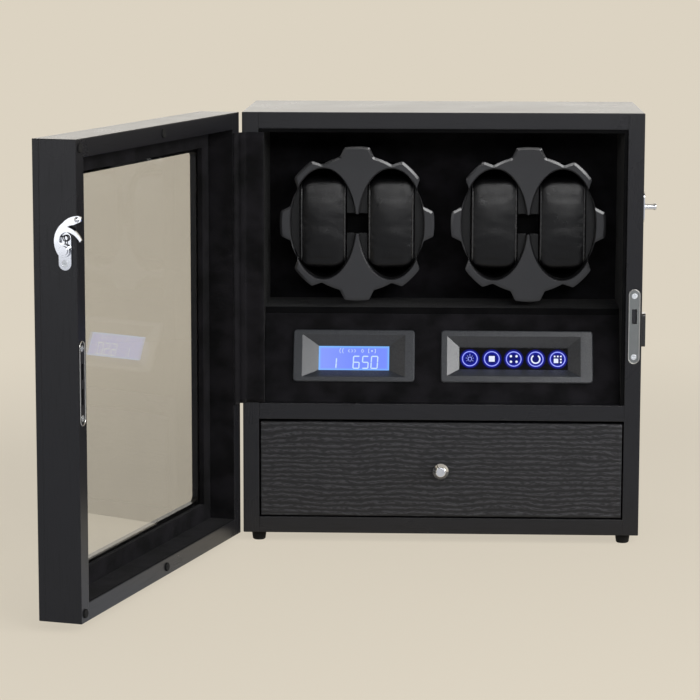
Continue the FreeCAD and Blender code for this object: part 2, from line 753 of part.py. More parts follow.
def control_board():
    """The circuit board on four posts, with a chip, a relay and a capacitor."""
    low_y, high_y = BOARD_Y
    z = DIVIDER_TOP + BOARD_LIFT
    top = z + BOARD_T
    pieces = [box(-BOARD_X, BOARD_X, low_y, high_y, z, top)]
    for x in (-BOARD_X + POST_INSET, BOARD_X - POST_INSET):
        for y in (low_y + POST_INSET, high_y - POST_INSET):
            pieces.append(rod(x, y, DIVIDER_TOP, Z_AXIS, POST_R, BOARD_LIFT))
    for x0, x1, y0, y1, height in (CHIP, RELAY):
        pieces.append(box(x0, x1, y0, y1, top, top + height))
    pieces.append(rod(*CAPACITOR_XY, top, Z_AXIS, CAPACITOR_R, CAPACITOR_H))
    return fuse(pieces)


def power_inlet():
    """A round low voltage socket held in the rear cover, with a pin in the middle of its bore."""
    barrel_l = INLET_OVERLAP + REAR_COVER_T + INLET_RING_T
    barrel = rod(INLET_X, REAR_Y - INLET_OVERLAP, INLET_Z, Y_AXIS, INLET_BARREL_R, barrel_l)
    inside = rod(INLET_X, REAR_Y - INLET_BODY_L, INLET_Z, Y_AXIS, INLET_FLANGE_R, INLET_BODY_L)
    ring = rod(INLET_X, CAB_D, INLET_Z, Y_AXIS, INLET_FLANGE_R, INLET_RING_T)
    bore_y = CAB_D + INLET_RING_T - INLET_DEPTH
    bore = rod(INLET_X, bore_y, INLET_Z, Y_AXIS, INLET_BORE_R, INLET_DEPTH + THROUGH)
    pin = rod(INLET_X, CAB_D - INLET_DEPTH, INLET_Z, Y_AXIS, INLET_PIN_R, INLET_DEPTH)
    return fuse([barrel, inside, ring]).cut(bore).fuse(pin)


def drawer():
    half_front = INNER_X - DRAWER_GAP
    front = box(-half_front, half_front, 0, DRAWER_FRONT_T, BOARD + DRAWER_GAP, DIVIDER_Z - DRAWER_TOP_GAP)
    front = round_edges(front, EDGE_ROUND, lambda edge: abs(edge.BoundBox.YMax) < SAME)
    outer_x = INNER_X - DRAWER_SIDE_GAP
    inner_x = outer_x - DRAWER_SIDE_T
    low_z = BOARD + DRAWER_GAP + DRAWER_FLOOR_LIFT
    back_y = DRAWER_LENGTH - DRAWER_SIDE_T
    sides = [
        box(-outer_x, -inner_x, DRAWER_FRONT_T, DRAWER_LENGTH, low_z, DRAWER_SIDE_TOP),
        box(inner_x, outer_x, DRAWER_FRONT_T, DRAWER_LENGTH, low_z, DRAWER_SIDE_TOP),
        box(-inner_x, inner_x, back_y, DRAWER_LENGTH, low_z, DRAWER_SIDE_TOP),
    ]
    floor_top = low_z + DRAWER_FLOOR_T
    floor = box(-inner_x, inner_x, DRAWER_FRONT_T, back_y, low_z, floor_top)
    liner_top = DRAWER_SIDE_TOP - LINER_DROP
    tray = box(-inner_x, inner_x, DRAWER_FRONT_T, back_y, floor_top, liner_top)
    space = box(-inner_x + LINER_T, inner_x - LINER_T, DRAWER_FRONT_T + LINER_T, back_y - LINER_T,
                floor_top + LINER_T, liner_top + THROUGH)
    return front, Part.makeCompound(sides), floor, tray.cut(space)


def drawer_knob():
    """A turned knob: foot, neck, and a head that tapers to a small flat face."""
    profile = [
        (0, 0), (4.6, 0), (4.6, 1.2), (3.2, 2.0), (3.0, 4.6), (5.2, 5.6),
        (6.5, 6.6), (6.8, 7.8), (6.4, 9.0), (4.0, 11.6), (3.5, 12.0), (0, 12.0),
    ]
    return turned(profile, V(0, 0, KNOB_Z), TO_FRONT)


def door_frame():
    """Two stiles with two rails between them, drawn closed."""
    inner = HALF_W - DOOR_FRAME_W
    hinge_stile = box(-HALF_W, -inner, FACE_BACK_Y, DOOR_INNER_Y, 0, CAB_H)
    lock_stile = box(inner, HALF_W, FACE_BACK_Y, DOOR_INNER_Y, 0, CAB_H)
    hinge_stile = cut(hinge_stile, hinge_room(DOOR_INNER_Y - HINGE_LEAF_T - RECESS_ROOM, DOOR_INNER_Y))
    recess = lock_recess(STRIKE_FACE_Y - LOCK_PLATE_T, DOOR_INNER_Y + THROUGH)
    pockets = strike_slots()
    strike_holes = [screw_hole(*point, TO_FRONT) for point in STRIKE_SCREWS]
    clasp_holes = [screw_hole(*CLASP_SCREW, TO_LEFT)]
    lock_stile = cut(lock_stile, [recess] + pockets + strike_holes + clasp_holes)
    top = box(-inner, inner, FACE_BACK_Y, DOOR_INNER_Y, CAB_H - DOOR_FRAME_W, CAB_H)
    bottom = box(-inner, inner, FACE_BACK_Y, DOOR_INNER_Y, 0, DOOR_FRAME_W)
    return Part.makeCompound([hinge_stile, lock_stile]), Part.makeCompound([top, bottom])


def strike_slots():
    """The bolt's slot in the strike plate and a second one below it, down into the stile."""
    halves = grown(BOLT_HALF, BOLT_ROOM)
    deep = DOOR_INNER_Y - STRIKE_POCKET
    return [slab(LOCK_X, z, *halves, STRIKE_CORNER, deep, 0) for z in (BOLT_Z, LOWER_SLOT_Z)]


def door_face():
    """The outer face: one board with a window whose corners are rounded."""
    low, high = WINDOW_Z
    face = box(-HALF_W, HALF_W, DOOR_OUTER_Y, FACE_BACK_Y, 0, CAB_H)

    def outside(edge):
        return abs(edge.BoundBox.YMax - DOOR_OUTER_Y) < SAME
    face = round_edges(face, EDGE_ROUND, outside)
    window = slab(0, (low + high) / 2, WINDOW_HALF_W, (high - low) / 2, WINDOW_CORNER,
                  DOOR_OUTER_Y - THROUGH, FACE_BACK_Y + THROUGH)
    return face.cut(window)


def door_glass():
    reach = HALF_W - DOOR_FRAME_W - GLASS_ROOM
    low = DOOR_FRAME_W + GLASS_ROOM
    return box(-reach, reach, FACE_BACK_Y, GLASS_BACK_Y, low, CAB_H - low)


def glass_beads():
    """Four velvet covered strips that hold the pane from inside."""
    y0 = GLASS_BACK_Y
    y1 = GLASS_BACK_Y + BEAD_T
    reach = HALF_W - DOOR_FRAME_W
    low = DOOR_FRAME_W
    high = CAB_H - DOOR_FRAME_W
    inside = reach - BEAD_W
    return Part.makeCompound([
        box(-reach, reach, y0, y1, low, low + BEAD_W),
        box(-reach, reach, y0, y1, high - BEAD_W, high),
        box(-reach, -inside, y0, y1, low + BEAD_W, high - BEAD_W),
        box(inside, reach, y0, y1, low + BEAD_W, high - BEAD_W),
    ])


def door_bumpers():
    """Soft buttons on the rails' inner faces, at the middle and near the free edge."""
    inward, downward = BUMPER_BEVEL
    profile = [
        (0, 0),
        (BUMPER_R, 0),
        (BUMPER_R, BUMPER_PROUD - downward),
        (BUMPER_R - inward, BUMPER_PROUD),
        (0, BUMPER_PROUD),
    ]
    solids = []
    for x in (0, HALF_W - BUMPER_EDGE):
        for z in (BUMPER_EDGE, CAB_H - BUMPER_EDGE):
            solids.append(turned(profile, V(x, DOOR_INNER_Y, z), Y_AXIS))
    return Part.makeCompound(solids)


def hinge_leaf(z, y0, y1, knuckles, bore_r):
    """A leaf let into the wood, with its knuckles round the pin."""
    low = z - HINGE_H / 2
    plate = box(HINGE_X, HINGE_X + HINGE_LEAF_W, y0, y1, low, low + HINGE_H)
    barrel = []
    free = []
    reached = 0
    for start, length in knuckles + [(HINGE_H, 0)]:
        if length > 0:
            barrel.append(rod(HINGE_X, HINGE_Y, low + start, Z_AXIS, KNUCKLE_R, length))
        if start > reached:
            room_r = KNUCKLE_R + KNUCKLE_ROOM
            free.append(rod(HINGE_X, HINGE_Y, low + reached, Z_AXIS, room_r, start - reached))
        reached = start + length
    bore = rod(HINGE_X, HINGE_Y, low - THROUGH, Z_AXIS, bore_r, HINGE_H + 2 * THROUGH)
    return cut(fuse([plate] + barrel), free + [bore])


def hinges():
    third = HINGE_H / 3
    gap = KNUCKLE_ROOM / 2
    outer_knuckles = [(0, third - gap), (2 * third + gap, third - gap)]
    middle_knuckle = [(third + gap, third - 2 * gap)]
    fixed = []
    moving = []
    pins = []
    for z in HINGE_Z:
        fixed.append(hinge_leaf(z, 0, HINGE_LEAF_T, outer_knuckles, HINGE_PIN_R + SEAT_CLEARANCE))
        moving.append(hinge_leaf(z, DOOR_INNER_Y - HINGE_LEAF_T, DOOR_INNER_Y, middle_knuckle,
                                 HINGE_PIN_R + RUNNING_CLEARANCE))
        pins.append(rod(HINGE_X, HINGE_Y, z - HINGE_H / 2, Z_AXIS, HINGE_PIN_R, HINGE_H))
    return Part.makeCompound(fixed), Part.makeCompound(moving), Part.makeCompound(pins)


def hinge_covers():
    """The two ends of the velvet strip over the hinges, glued to the wall and to the door's stile."""
    start = HINGE_X + KNUCKLE_R + 3 * KNUCKLE_ROOM
    low = DIVIDER_TOP + COVER_LIFT
    on_wall = box(start, -LINED_X, -COVER_T, 0, low, LINED_TOP)
    on_door = box(start, -INNER_X, DOOR_INNER_Y, DOOR_INNER_Y + COVER_T, low, LINED_TOP)
    return on_wall, on_door


def clasp_plate():
    """The base plate screwed to the door's edge, with the pin that the hook turns on."""
    foot = CLASP_PLATE_DROP + CLASP_PLATE_R
    middle = CLASP_Z + (CLASP_PLATE_RISE - foot) / 2
    half_h = (CLASP_PLATE_RISE + foot) / 2
    plate = side_slab(CLASP_Y, middle, CLASP_PLATE_R, half_h, CLASP_PLATE_R, HALF_W, HALF_W + CLASP_PLATE_T)
    pin_l = CLASP_PLATE_T + 2 * CLASP_HOOK_LIFT + CLASP_HOOK_T
    pin = rod(HALF_W, CLASP_Y, CLASP_Z, X_AXIS, CLASP_PIN_R, pin_l + CLASP_HEAD_T)
    head = rod(HALF_W + pin_l, CLASP_Y, CLASP_Z, X_AXIS, CLASP_HEAD_R, CLASP_HEAD_T)
    return fuse([plate, pin, head]).cut(screw_hole(*CLASP_SCREW, TO_LEFT))


def clasp_hook():
    """The crescent hook: a hub on the pin, a thin curved back, a claw at the tip and a thumb prong."""
    x = HALF_W + CLASP_PLATE_T + CLASP_HOOK_LIFT

    def at(y, z):
        return V(x, CLASP_Y + y, CLASP_Z + z)

    def arc(start, middle, end):
        return Part.Arc(at(*start), at(*middle), at(*end)).toShape()

    def line(start, end):
        return Part.makeLine(at(*start), at(*end))
    back_foot = (-4.4, -2.6)
    crown = (-0.6, 19.2)
    claw_top = (10.4, 24.4)
    claw_end = (11.6, 19.8)
    throat_top = (7.6, 18.0)
    throat = (3.0, 16.6)
    prong_top = (13.4, 7.4)
    prong_tip = (12.2, 6.2)
    prong_root = (3.2, 13.0)
    inner_foot = (-2.2, 4.2)
    hub_right = (3.8, 2.4)
    wire = Part.Wire([
        arc(back_foot, (-7.0, 8.0), crown),
        arc(crown, (4.6, 23.0), claw_top),
        arc(claw_top, (13.4, 22.4), claw_end),
        line(claw_end, throat_top),
        arc(throat_top, (5.2, 17.6), throat),
        arc(throat, (9.4, 13.2), prong_top),
        line(prong_top, prong_tip),
        arc(prong_tip, (8.2, 10.8), prong_root),
        arc(prong_root, (-2.4, 10.0), inner_foot),
        arc(inner_foot, (1.2, 4.4), hub_right),
        arc(hub_right, (0.6, -4.6), back_foot),
    ])
    body = Part.Face(wire).extrude(V(CLASP_HOOK_T, 0, 0))
    button = [(0, 0), (1.9, 0), (1.6, 0.9), (0.8, 1.4), (0, 1.5)]
    knob = turned(button, at(10.2, 21.8) + V(CLASP_HOOK_T, 0, 0), X_AXIS)
    bore_r = CLASP_PIN_R + RUNNING_CLEARANCE
    bore = rod(x - THROUGH, CLASP_Y, CLASP_Z, X_AXIS, bore_r, CLASP_HOOK_T + 2 * THROUGH)
    return body.fuse(knob).cut(bore)


def clasp_stud():
    """A turned stud with a collar at its tip, riveted to a small plate on the right wall."""
    half_w, half_h = STUD_PLATE_HALF
    plate = side_slab(STUD_Y, STUD_Z, half_w, half_h, half_w, HALF_W, HALF_W + STUD_PLATE_T)
    plate = cut(plate, [screw_hole(*point, TO_LEFT) for point in STUD_SCREWS])
    neck = STUD_R - STUD_WAIST
    profile = [
        (0, 0), (STUD_R, 0), (STUD_R, 1.2), (neck, 1.6), (neck, STUD_L - 2.2),
        (STUD_R, STUD_L - 1.8), (STUD_R, STUD_L - 0.5), (STUD_R - 0.5, STUD_L), (0, STUD_L),
    ]
    stud = turned(profile, V(HALF_W + STUD_PLATE_T, STUD_Y, STUD_Z), X_AXIS)
    return plate.fuse(stud)


def small_screws():
    rear = [screw(*point, TO_FRONT) for point in REAR_SCREWS]
    lock = [screw(*point, Y_AXIS) for point in LOCK_SCREWS]
    strike = [screw(*point, TO_FRONT) for point in STRIKE_SCREWS]
    stud = [screw(*point, TO_LEFT) for point in STUD_SCREWS]
    clasp = screw(*CLASP_SCREW, TO_LEFT)
    return Part.makeCompound(rear + lock + stud), Part.makeCompound(strike + [clasp])


def lock_plate(y0, y1, slots, screws, axis):
    """An upright plate with round ends, its slots and two screw holes."""
    plate = slab(LOCK_X, LOCK_Z, *LOCK_PLATE_HALF, LOCK_PLATE_HALF[0], y0, y1)
    return cut(plate, slots + [screw_hole(*point, axis) for point in screws])


def lock_faceplate():
    back_y = LOCK_PLATE_T - LOCK_PLATE_PROUD
    return lock_plate(-LOCK_PLATE_PROUD, back_y, [bolt_mouth(back_y)], LOCK_SCREWS, Y_AXIS)


def bolt_mouth(y1):
    """The opening in front of the bolt, from outside the faceplate back to y1."""
    halves = grown(BOLT_HALF, BOLT_ROOM)
    return slab(LOCK_X, BOLT_Z, *halves, BOLT_MOUTH_CORNER, -THROUGH, y1 + THROUGH)


def strike_plate():
    return lock_plate(STRIKE_FACE_Y - LOCK_PLATE_T, STRIKE_FACE_Y, strike_slots(), STRIKE_SCREWS, TO_FRONT)


def lock_case_blank(room):
    half_w, half_h = grown(LOCK_CASE_HALF, room)
    y0 = LOCK_PLATE_T - LOCK_PLATE_PROUD
    return box(LOCK_X - half_w, LOCK_X + half_w, y0, LOCK_CASE_L + room,
               LOCK_Z - half_h, LOCK_Z + half_h)


def lock_case():
    """A folded steel case, hollow, open for the bolt in front and the plug at its side."""
    y0 = LOCK_PLATE_T - LOCK_PLATE_PROUD
    half_w, half_h = grown(LOCK_CASE_HALF, -LOCK_CASE_WALL)
    hollow = box(LOCK_X - half_w, LOCK_X + half_w, y0 + LOCK_CASE_WALL, LOCK_CASE_L - LOCK_CASE_WALL,
                 LOCK_Z - half_h, LOCK_Z + half_h)
    mouth = bolt_mouth(y0 + LOCK_CASE_WALL)
    side = rod(LOCK_X, PLUG_Y, PLUG_Z, X_AXIS, PLUG_R + 2 * PLUG_ROOM, 2 * BOARD)
    screws = [screw_hole(*point, Y_AXIS) for point in LOCK_SCREWS]
    return cut(lock_case_blank(0), [hollow, mouth, side] + screws)


def lock_bolt():
    half_w, half_h = BOLT_HALF
    return box(LOCK_X - half_w, LOCK_X + half_w, BOLT_SETBACK, BOLT_L, BOLT_Z - half_h, BOLT_Z + half_h)


def lock_plug():
    """The key plug with a keyway in its face and a cam finger inside the case."""
    inner_x = LOCK_X - CAM_T
    face_x = HALF_W + ESCUTCHEON_T
    core = rod(inner_x, PLUG_Y, PLUG_Z, X_AXIS, PLUG_R, face_x - inner_x)
    cam = box(inner_x, inner_x + CAM_T, PLUG_Y, PLUG_Y + CAM_REACH,
              PLUG_Z - CAM_HALF_HEIGHT, PLUG_Z + CAM_HALF_HEIGHT)
    half_w, half_h = KEYWAY_HALF
    keyway = box(face_x - KEYWAY_DEPTH, face_x + THROUGH, PLUG_Y - half_w, PLUG_Y + half_w,
                 PLUG_Z - half_h, PLUG_Z + half_h)
    return core.fuse(cam).cut(keyway)


def key_escutcheon():
    half_w, half_h = ESCUTCHEON_HALF
    plate = side_slab(PLUG_Y, PLUG_Z, half_w, half_h, ESCUTCHEON_CORNER, HALF_W, HALF_W + ESCUTCHEON_T)
    return plate.cut(rod(HALF_W - THROUGH, PLUG_Y, PLUG_Z, X_AXIS, PLUG_R + PLUG_ROOM, 2 * BOARD))


def opened(shape):
    """Swings a piece of the closed door about the hinge pins to where the door stands open."""
    swung = shape.copy()
    swung.rotate(V(HINGE_X, HINGE_Y, 0), Z_AXIS, -DOOR_OPEN)
    return swung


def build():
    pieces = {}
    pieces["cabinet_left_wall"], pieces["cabinet_right_wall"] = cabinet_walls()
    pieces["cabinet_top"], pieces["cabinet_bottom"], pieces["divider_board"] = cabinet_boards()
    pieces["rear_cover"] = rear_cover()
    pieces["feet"] = feet()
    pieces["side_linings"], pieces["ceiling_lining"] = linings()
    pieces["inner_back_panel"] = inner_back_panel()
    pieces["console_panel"], pieces["console_shelf"] = console()
    pieces["display_bezel"], pieces["display_module"] = bezel(DISPLAY_X, DISPLAY_FUNNEL, DISPLAY_WINDOW)
    pieces["touch_bezel"], pieces["touch_panel"] = bezel(TOUCH_X, TOUCH_FUNNEL, TOUCH_WINDOW)
    pieces["control_board"] = control_board()
    pieces["power_inlet"] = power_inlet()
    pieces["rotor_bushings"] = pair_at_rotors(bushing())
    pieces["drive_motors"] = pair_at_rotors(motor())
    pieces["drive_belts"] = pair_at_rotors(belt())
    face, cradle = rotor()
    cushion = pillow()
    for name, side in (("left", -1), ("right", 1)):
        pieces["rotor_" + name] = at_rotor(face, side)
        pieces["rotor_cradle_" + name] = at_rotor(cradle, side)
        pieces["rotor_drive_" + name] = at_rotor(rotor_drive(), side)
        pieces["motor_drive_" + name] = at_rotor(motor_drive(), side)
        for place, shift in (("a", -POCKET_X), ("b", POCKET_X)):
            placed = at_rotor(cushion, side)
            placed.translate(V(shift, 0, 0))
            pieces["pillow_" + name + "_" + place] = placed
    pieces["lock_faceplate"] = lock_faceplate()
    pieces["lock_case"] = lock_case()
    pieces["lock_bolt"] = lock_bolt()
    pieces["lock_plug"] = lock_plug()
    pieces["key_escutcheon"] = key_escutcheon()
    pieces["clasp_stud"] = clasp_stud()
    front, sides, floor, liner = drawer()
    pieces["drawer_front"] = front
    pieces["drawer_sides"] = sides
    pieces["drawer_floor"] = floor
    pieces["drawer_liner"] = liner
    pieces["drawer_knob"] = drawer_knob()
    fixed_leaves, door_leaves, pins = hinges()
    wall_cover, door_cover = hinge_covers()
    pieces["hinge_leaves_cabinet"] = fixed_leaves
    pieces["hinge_pins"] = pins
    pieces["hinge_cover_cabinet"] = wall_cover
    cabinet_screws, door_screws = small_screws()
    pieces["cabinet_fitting_screws"] = cabinet_screws
    stiles, rails = door_frame()
    pieces["door_stiles"] = opened(stiles)
    pieces["door_rails"] = opened(rails)
    pieces["door_face_frame"] = opened(door_face())
    pieces["door_glass"] = opened(door_glass())
    pieces["glass_beads"] = opened(glass_beads())
    pieces["door_bumpers"] = opened(door_bumpers())
    pieces["hinge_leaves_door"] = opened(door_leaves)
    pieces["hinge_cover_door"] = opened(door_cover)
    pieces["strike_plate"] = opened(strike_plate())
    pieces["door_fitting_screws"] = opened(door_screws)
    pieces["clasp_plate"] = opened(clasp_plate())
    pieces["clasp_hook"] = opened(clasp_hook())
    return pieces


os.makedirs("parts", exist_ok=True)
for name, shape in build().items():
    placed = shape.copy()
    placed.translate(ORIGIN_SHIFT)
    placed.exportStep("parts/" + name + ".step")
    print(name, len(placed.Solids), "solids,", round(placed.Volume), "mm3, valid", placed.isValid())
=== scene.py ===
import json
import math

import bpy
from mathutils import Matrix, Vector, noise
from mathutils.bvhtree import BVHTree


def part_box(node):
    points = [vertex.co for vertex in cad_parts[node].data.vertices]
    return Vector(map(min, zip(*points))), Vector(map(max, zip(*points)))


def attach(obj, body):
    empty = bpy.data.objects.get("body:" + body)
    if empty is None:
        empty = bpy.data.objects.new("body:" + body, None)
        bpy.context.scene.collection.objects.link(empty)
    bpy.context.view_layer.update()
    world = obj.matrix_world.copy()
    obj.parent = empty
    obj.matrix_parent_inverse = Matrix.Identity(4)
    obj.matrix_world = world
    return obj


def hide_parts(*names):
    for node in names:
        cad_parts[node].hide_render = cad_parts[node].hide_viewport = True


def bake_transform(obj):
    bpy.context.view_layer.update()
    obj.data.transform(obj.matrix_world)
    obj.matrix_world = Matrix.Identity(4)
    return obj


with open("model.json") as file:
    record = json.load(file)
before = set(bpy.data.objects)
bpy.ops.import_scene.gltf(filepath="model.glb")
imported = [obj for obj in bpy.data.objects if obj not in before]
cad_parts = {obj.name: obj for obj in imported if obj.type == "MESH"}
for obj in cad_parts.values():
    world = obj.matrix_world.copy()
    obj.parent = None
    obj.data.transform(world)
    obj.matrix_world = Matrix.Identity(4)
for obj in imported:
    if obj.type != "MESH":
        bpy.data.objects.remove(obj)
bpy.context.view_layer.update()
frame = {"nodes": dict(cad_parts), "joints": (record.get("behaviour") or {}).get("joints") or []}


# Cabinet carcass. Two walls, a top, a bottom and a divider of 13 mm board, dowelled and glued,
# sprayed with black satin lacquer that is thin enough to leave the veneer's pores open.

MM = 0.001


class Wire:
    """A value inside a finish, which can be added, scaled and stepped like a number."""

    def __init__(self, finish, socket):
        self.finish = finish
        self.socket = socket

    def maths(self, operation, first, second=0.0):
        return self.finish.node("Math", {"operation": operation}, {0: first, 1: second})

    def __add__(self, other):
        return self.maths("ADD", self, other)

    def __sub__(self, other):
        return self.maths("SUBTRACT", self, other)

    def __rsub__(self, other):
        return self.maths("SUBTRACT", other, self)

    def __mul__(self, other):
        return self.maths("MULTIPLY", self, other)

    def __pow__(self, other):
        return self.maths("POWER", self, other)

    def __abs__(self):
        return self.maths("ABSOLUTE", self)

    __radd__ = __add__
    __rmul__ = __mul__

    def least(self, other):
        return self.maths("MINIMUM", self, other)

    def sine(self):
        return self.maths("SINE", self)

    def rise(self, low, high):
        """0 below low and 1 above high, with a soft step between them."""
        sockets = {"Value": self, "From Min": low, "From Max": high}
        return self.finish.node("MapRange", {"interpolation_type": "SMOOTHSTEP"}, sockets)


class Nodes:
    """The nodes of one material or of the room, and the one way to add to them."""

    def __init__(self, tree):
        self.tree = tree

    def node(self, kind, settings, sockets, output=0):
        made = self.tree.nodes.new("ShaderNode" + kind)
        for name, value in settings.items():
            setattr(made, name, value)
        self.feed(made, sockets)
        return Wire(self, made.outputs[output])

    def feed(self, made, sockets):
        for name, value in sockets.items():
            if isinstance(value, Wire):
                self.tree.links.new(value.socket, made.inputs[name])
            else:
                made.inputs[name].default_value = value

    def part_of(self, place, axis):
        return self.node("SeparateXYZ", {}, {0: place}, axis)

    def blend(self, share, first, second):
        return self.node("Mix", {"data_type": "RGBA"}, {0: share, 6: first, 7: second}, 2)


class Finish(Nodes):
    """One procedural finish: a Principled shader and the nodes that feed it."""

    def __init__(self, name):
        self.material = bpy.data.materials.new(name)
        self.material.use_nodes = True
        super().__init__(self.material.node_tree)
        self.shader = self.tree.nodes["Principled BSDF"]

    def surface(self, sockets):
        self.feed(self.shader, sockets)

    def place(self):
        """Where a point lies on the piece at rest, in metres."""
        return self.node("TexCoord", {}, {}, "Object")

    def clouds(self, place, size, detail=2.0):
        """Irregular variation from 0 to 1 in patches of about size (x, y, z) metres."""
        scale = [1 / length for length in size]
        spread = self.node("VectorMath", {"operation": "MULTIPLY"}, {0: place, 1: scale})
        return self.node("TexNoise", {}, {"Vector": spread, "Scale": 1.0, "Detail": detail})

    def relief(self, height, edge):
        """A height in millimetres as a bump, over corners rubbed round by edge metres."""
        rubbed = self.node("Bevel", {"samples": 4}, {"Radius": edge})
        return self.node("Bump", {}, {"Distance": MM, "Height": height, "Normal": rubbed})


def tone(red, green, blue):
    """A colour from the 0 to 255 levels that it has on a screen."""
    def linear(level):
        share = level / 255
        return share / 12.92 if share <= 0.04045 else ((share + 0.055) / 1.055) ** 2.4
    return linear(red), linear(green), linear(blue), 1.0


def dress(finish, *nodes):
    for node in nodes:
        materials = frame["nodes"][node].data.materials
        materials.clear()
        materials.append(finish.material)


def lacquer(finish, place, grain, gloss):
    """Black lacquer with pores of size grain (x, y, z) and a faint haze from polishing."""
    pores = finish.clouds(place, grain, 3).rise(0.53, 0.7)
    haze = finish.clouds(place, (0.06, 0.06, 0.06))
    finish.surface({
        "Base Color": finish.blend(pores, tone(24, 24, 27), tone(17, 17, 19)),
        "Roughness": gloss + 0.06 * haze + 0.04 * pores,
        "Specular IOR Level": 0.34,
        "Normal": finish.relief(-0.005 * pores, 1.1 * MM),
    })


PORE = 0.9 * MM
PORE_RUN = 22 * MM
SATIN = 0.25
upright_lacquer = Finish("upright_lacquer")
lacquer(upright_lacquer, upright_lacquer.place(), (PORE, PORE, PORE_RUN), SATIN)
level_lacquer = Finish("level_lacquer")
lacquer(level_lacquer, level_lacquer.place(), (PORE_RUN, PORE, PORE), SATIN)
dress(upright_lacquer, "cabinet_left_wall", "cabinet_right_wall")
dress(level_lacquer, "cabinet_top", "cabinet_bottom", "divider_board")


# Rear cover, feet and inlet. The cover is black painted hardboard with the mesh mark of its press,
# held by screws; the feet are turned rubber, and the inlet is a moulded socket with a plated pin.

MESH_PITCH = 1.1 * MM
hardboard = Finish("hardboard")
board_place = hardboard.place()
mesh_step = 2 * math.pi / MESH_PITCH
mesh_across = hardboard.part_of(board_place, "X") * mesh_step
mesh_up = hardboard.part_of(board_place, "Z") * mesh_step
mesh_mark = mesh_across.sine() * mesh_up.sine()
board_fibre = hardboard.clouds(board_place, (3 * MM, 3 * MM, 3 * MM), 4)
hardboard.surface({
    "Base Color": hardboard.blend(board_fibre, tone(20, 20, 20), tone(34, 33, 32)),
    "Roughness": 0.6 + 0.2 * board_fibre,
    "Specular IOR Level": 0.3,
    "Normal": hardboard.relief(0.05 * mesh_mark + 0.06 * board_fibre, 0.5 * MM),
})
dress(hardboard, "rear_cover")

rubber = Finish("rubber")
rubber_skin = rubber.clouds(rubber.place(), (0.5 * MM, 0.5 * MM, 0.5 * MM), 3)
rubber.surface({
    "Base Color": rubber.blend(rubber_skin, tone(11, 11, 11), tone(20, 20, 20)),
    "Roughness": 0.66 + 0.2 * rubber_skin,
    "Specular IOR Level": 0.2,
    "Normal": rubber.relief(0.03 * rubber_skin, 0.4 * MM),
})
dress(rubber, "feet", "drive_belts")

inlet_plastic = Finish("inlet_plastic")
inlet_grain = inlet_plastic.clouds(inlet_plastic.place(), (0.3 * MM, 0.3 * MM, 0.3 * MM))
inlet_plastic.surface({
    "Base Color": inlet_plastic.blend(inlet_grain, tone(22, 22, 23), tone(30, 30, 31)),
    "Roughness": 0.4 + 0.15 * inlet_grain,
    "Normal": inlet_plastic.relief(0.01 * inlet_grain, 0.3 * MM),
})
dress(inlet_plastic, "power_inlet")


def metal(name, colour, dull, wear, edge):
    """A bare or plated metal whose polish varies a little in soft patches and fine rubbing."""
    finish = Finish(name)
    place = finish.place()
    patches = finish.clouds(place, (6 * MM, 6 * MM, 6 * MM), 3)
    rubbing = finish.clouds(place, (0.25 * MM, 0.25 * MM, 3 * MM), 2)
    darker = tuple(0.8 * level for level in colour[:3]) + (1.0,)
    finish.surface({
        "Base Color": finish.blend(patches, colour, darker),
        "Metallic": 1.0,
        "Roughness": dull + wear * patches + wear * rubbing,
        "Normal": finish.relief(0.004 * rubbing, edge),
    })
    return finish


nickel = metal("nickel", (0.62, 0.61, 0.58, 1.0), 0.22, 0.08, 0.35 * MM)
zinc = metal("bright_zinc", (0.86, 0.88, 0.9, 1.0), 0.3, 0.06, 0.35 * MM)
dress(zinc, "cabinet_fitting_screws", "door_fitting_screws")


def make(name, corners, faces, body, finish):
    """A new piece of the object: smooth except at sharp edges, and carried by a body."""
    mesh = bpy.data.meshes.new(name)
    mesh.from_pydata(corners, [], faces)
    mesh.materials.append(finish.material)
    mesh.shade_smooth()
    mesh.set_sharp_from_angle(angle=math.radians(38))
    piece = bpy.data.objects.new(name, mesh)
    bpy.context.scene.collection.objects.link(piece)
    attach(piece, body)
    return piece


def lathe(profile, centre, axis, around=24):
    """Corners and faces turned from (radius, height) points about an axis through centre."""
    lean = Vector((0, 0, 1)).rotation_difference(Vector(axis))
    corners = []
    faces = []
    rows = len(profile)
    for step in range(around):
        angle = 2 * math.pi * step / around
        for radius, height in profile:
            point = Vector((radius * math.cos(angle), radius * math.sin(angle), height))
            corners.append(Vector(centre) + lean @ point)
        following = (step + 1) % around
        for row in range(rows - 1):
            here = step * rows + row
            beside = following * rows + row
            faces.append((here, beside, beside + 1, here + 1))
    return corners, faces


PIN_DEPTH = 8 * MM
PIN_PROFILE = [(1.02 * MM, 0), (1.18 * MM, 0), (1.18 * MM, 6.1 * MM),
               (0.85 * MM, 6.6 * MM), (0, 6.7 * MM)]
inlet_low, inlet_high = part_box("power_inlet")
inlet_middle = (inlet_low + inlet_high) / 2
pin_root = Vector((inlet_middle.x, inlet_high.y - PIN_DEPTH, inlet_middle.z))
pin_corners, pin_faces = lathe(PIN_PROFILE, pin_root, (0, 1, 0))
make("inlet_pin", pin_corners, pin_faces, "cabinet", nickel)


# Velvet linings and console. Thin boards flocked with black velvet are pushed into the carcass and
# glued: two sides, a ceiling, the panel behind the rotors, and the slanted console with its shelf.

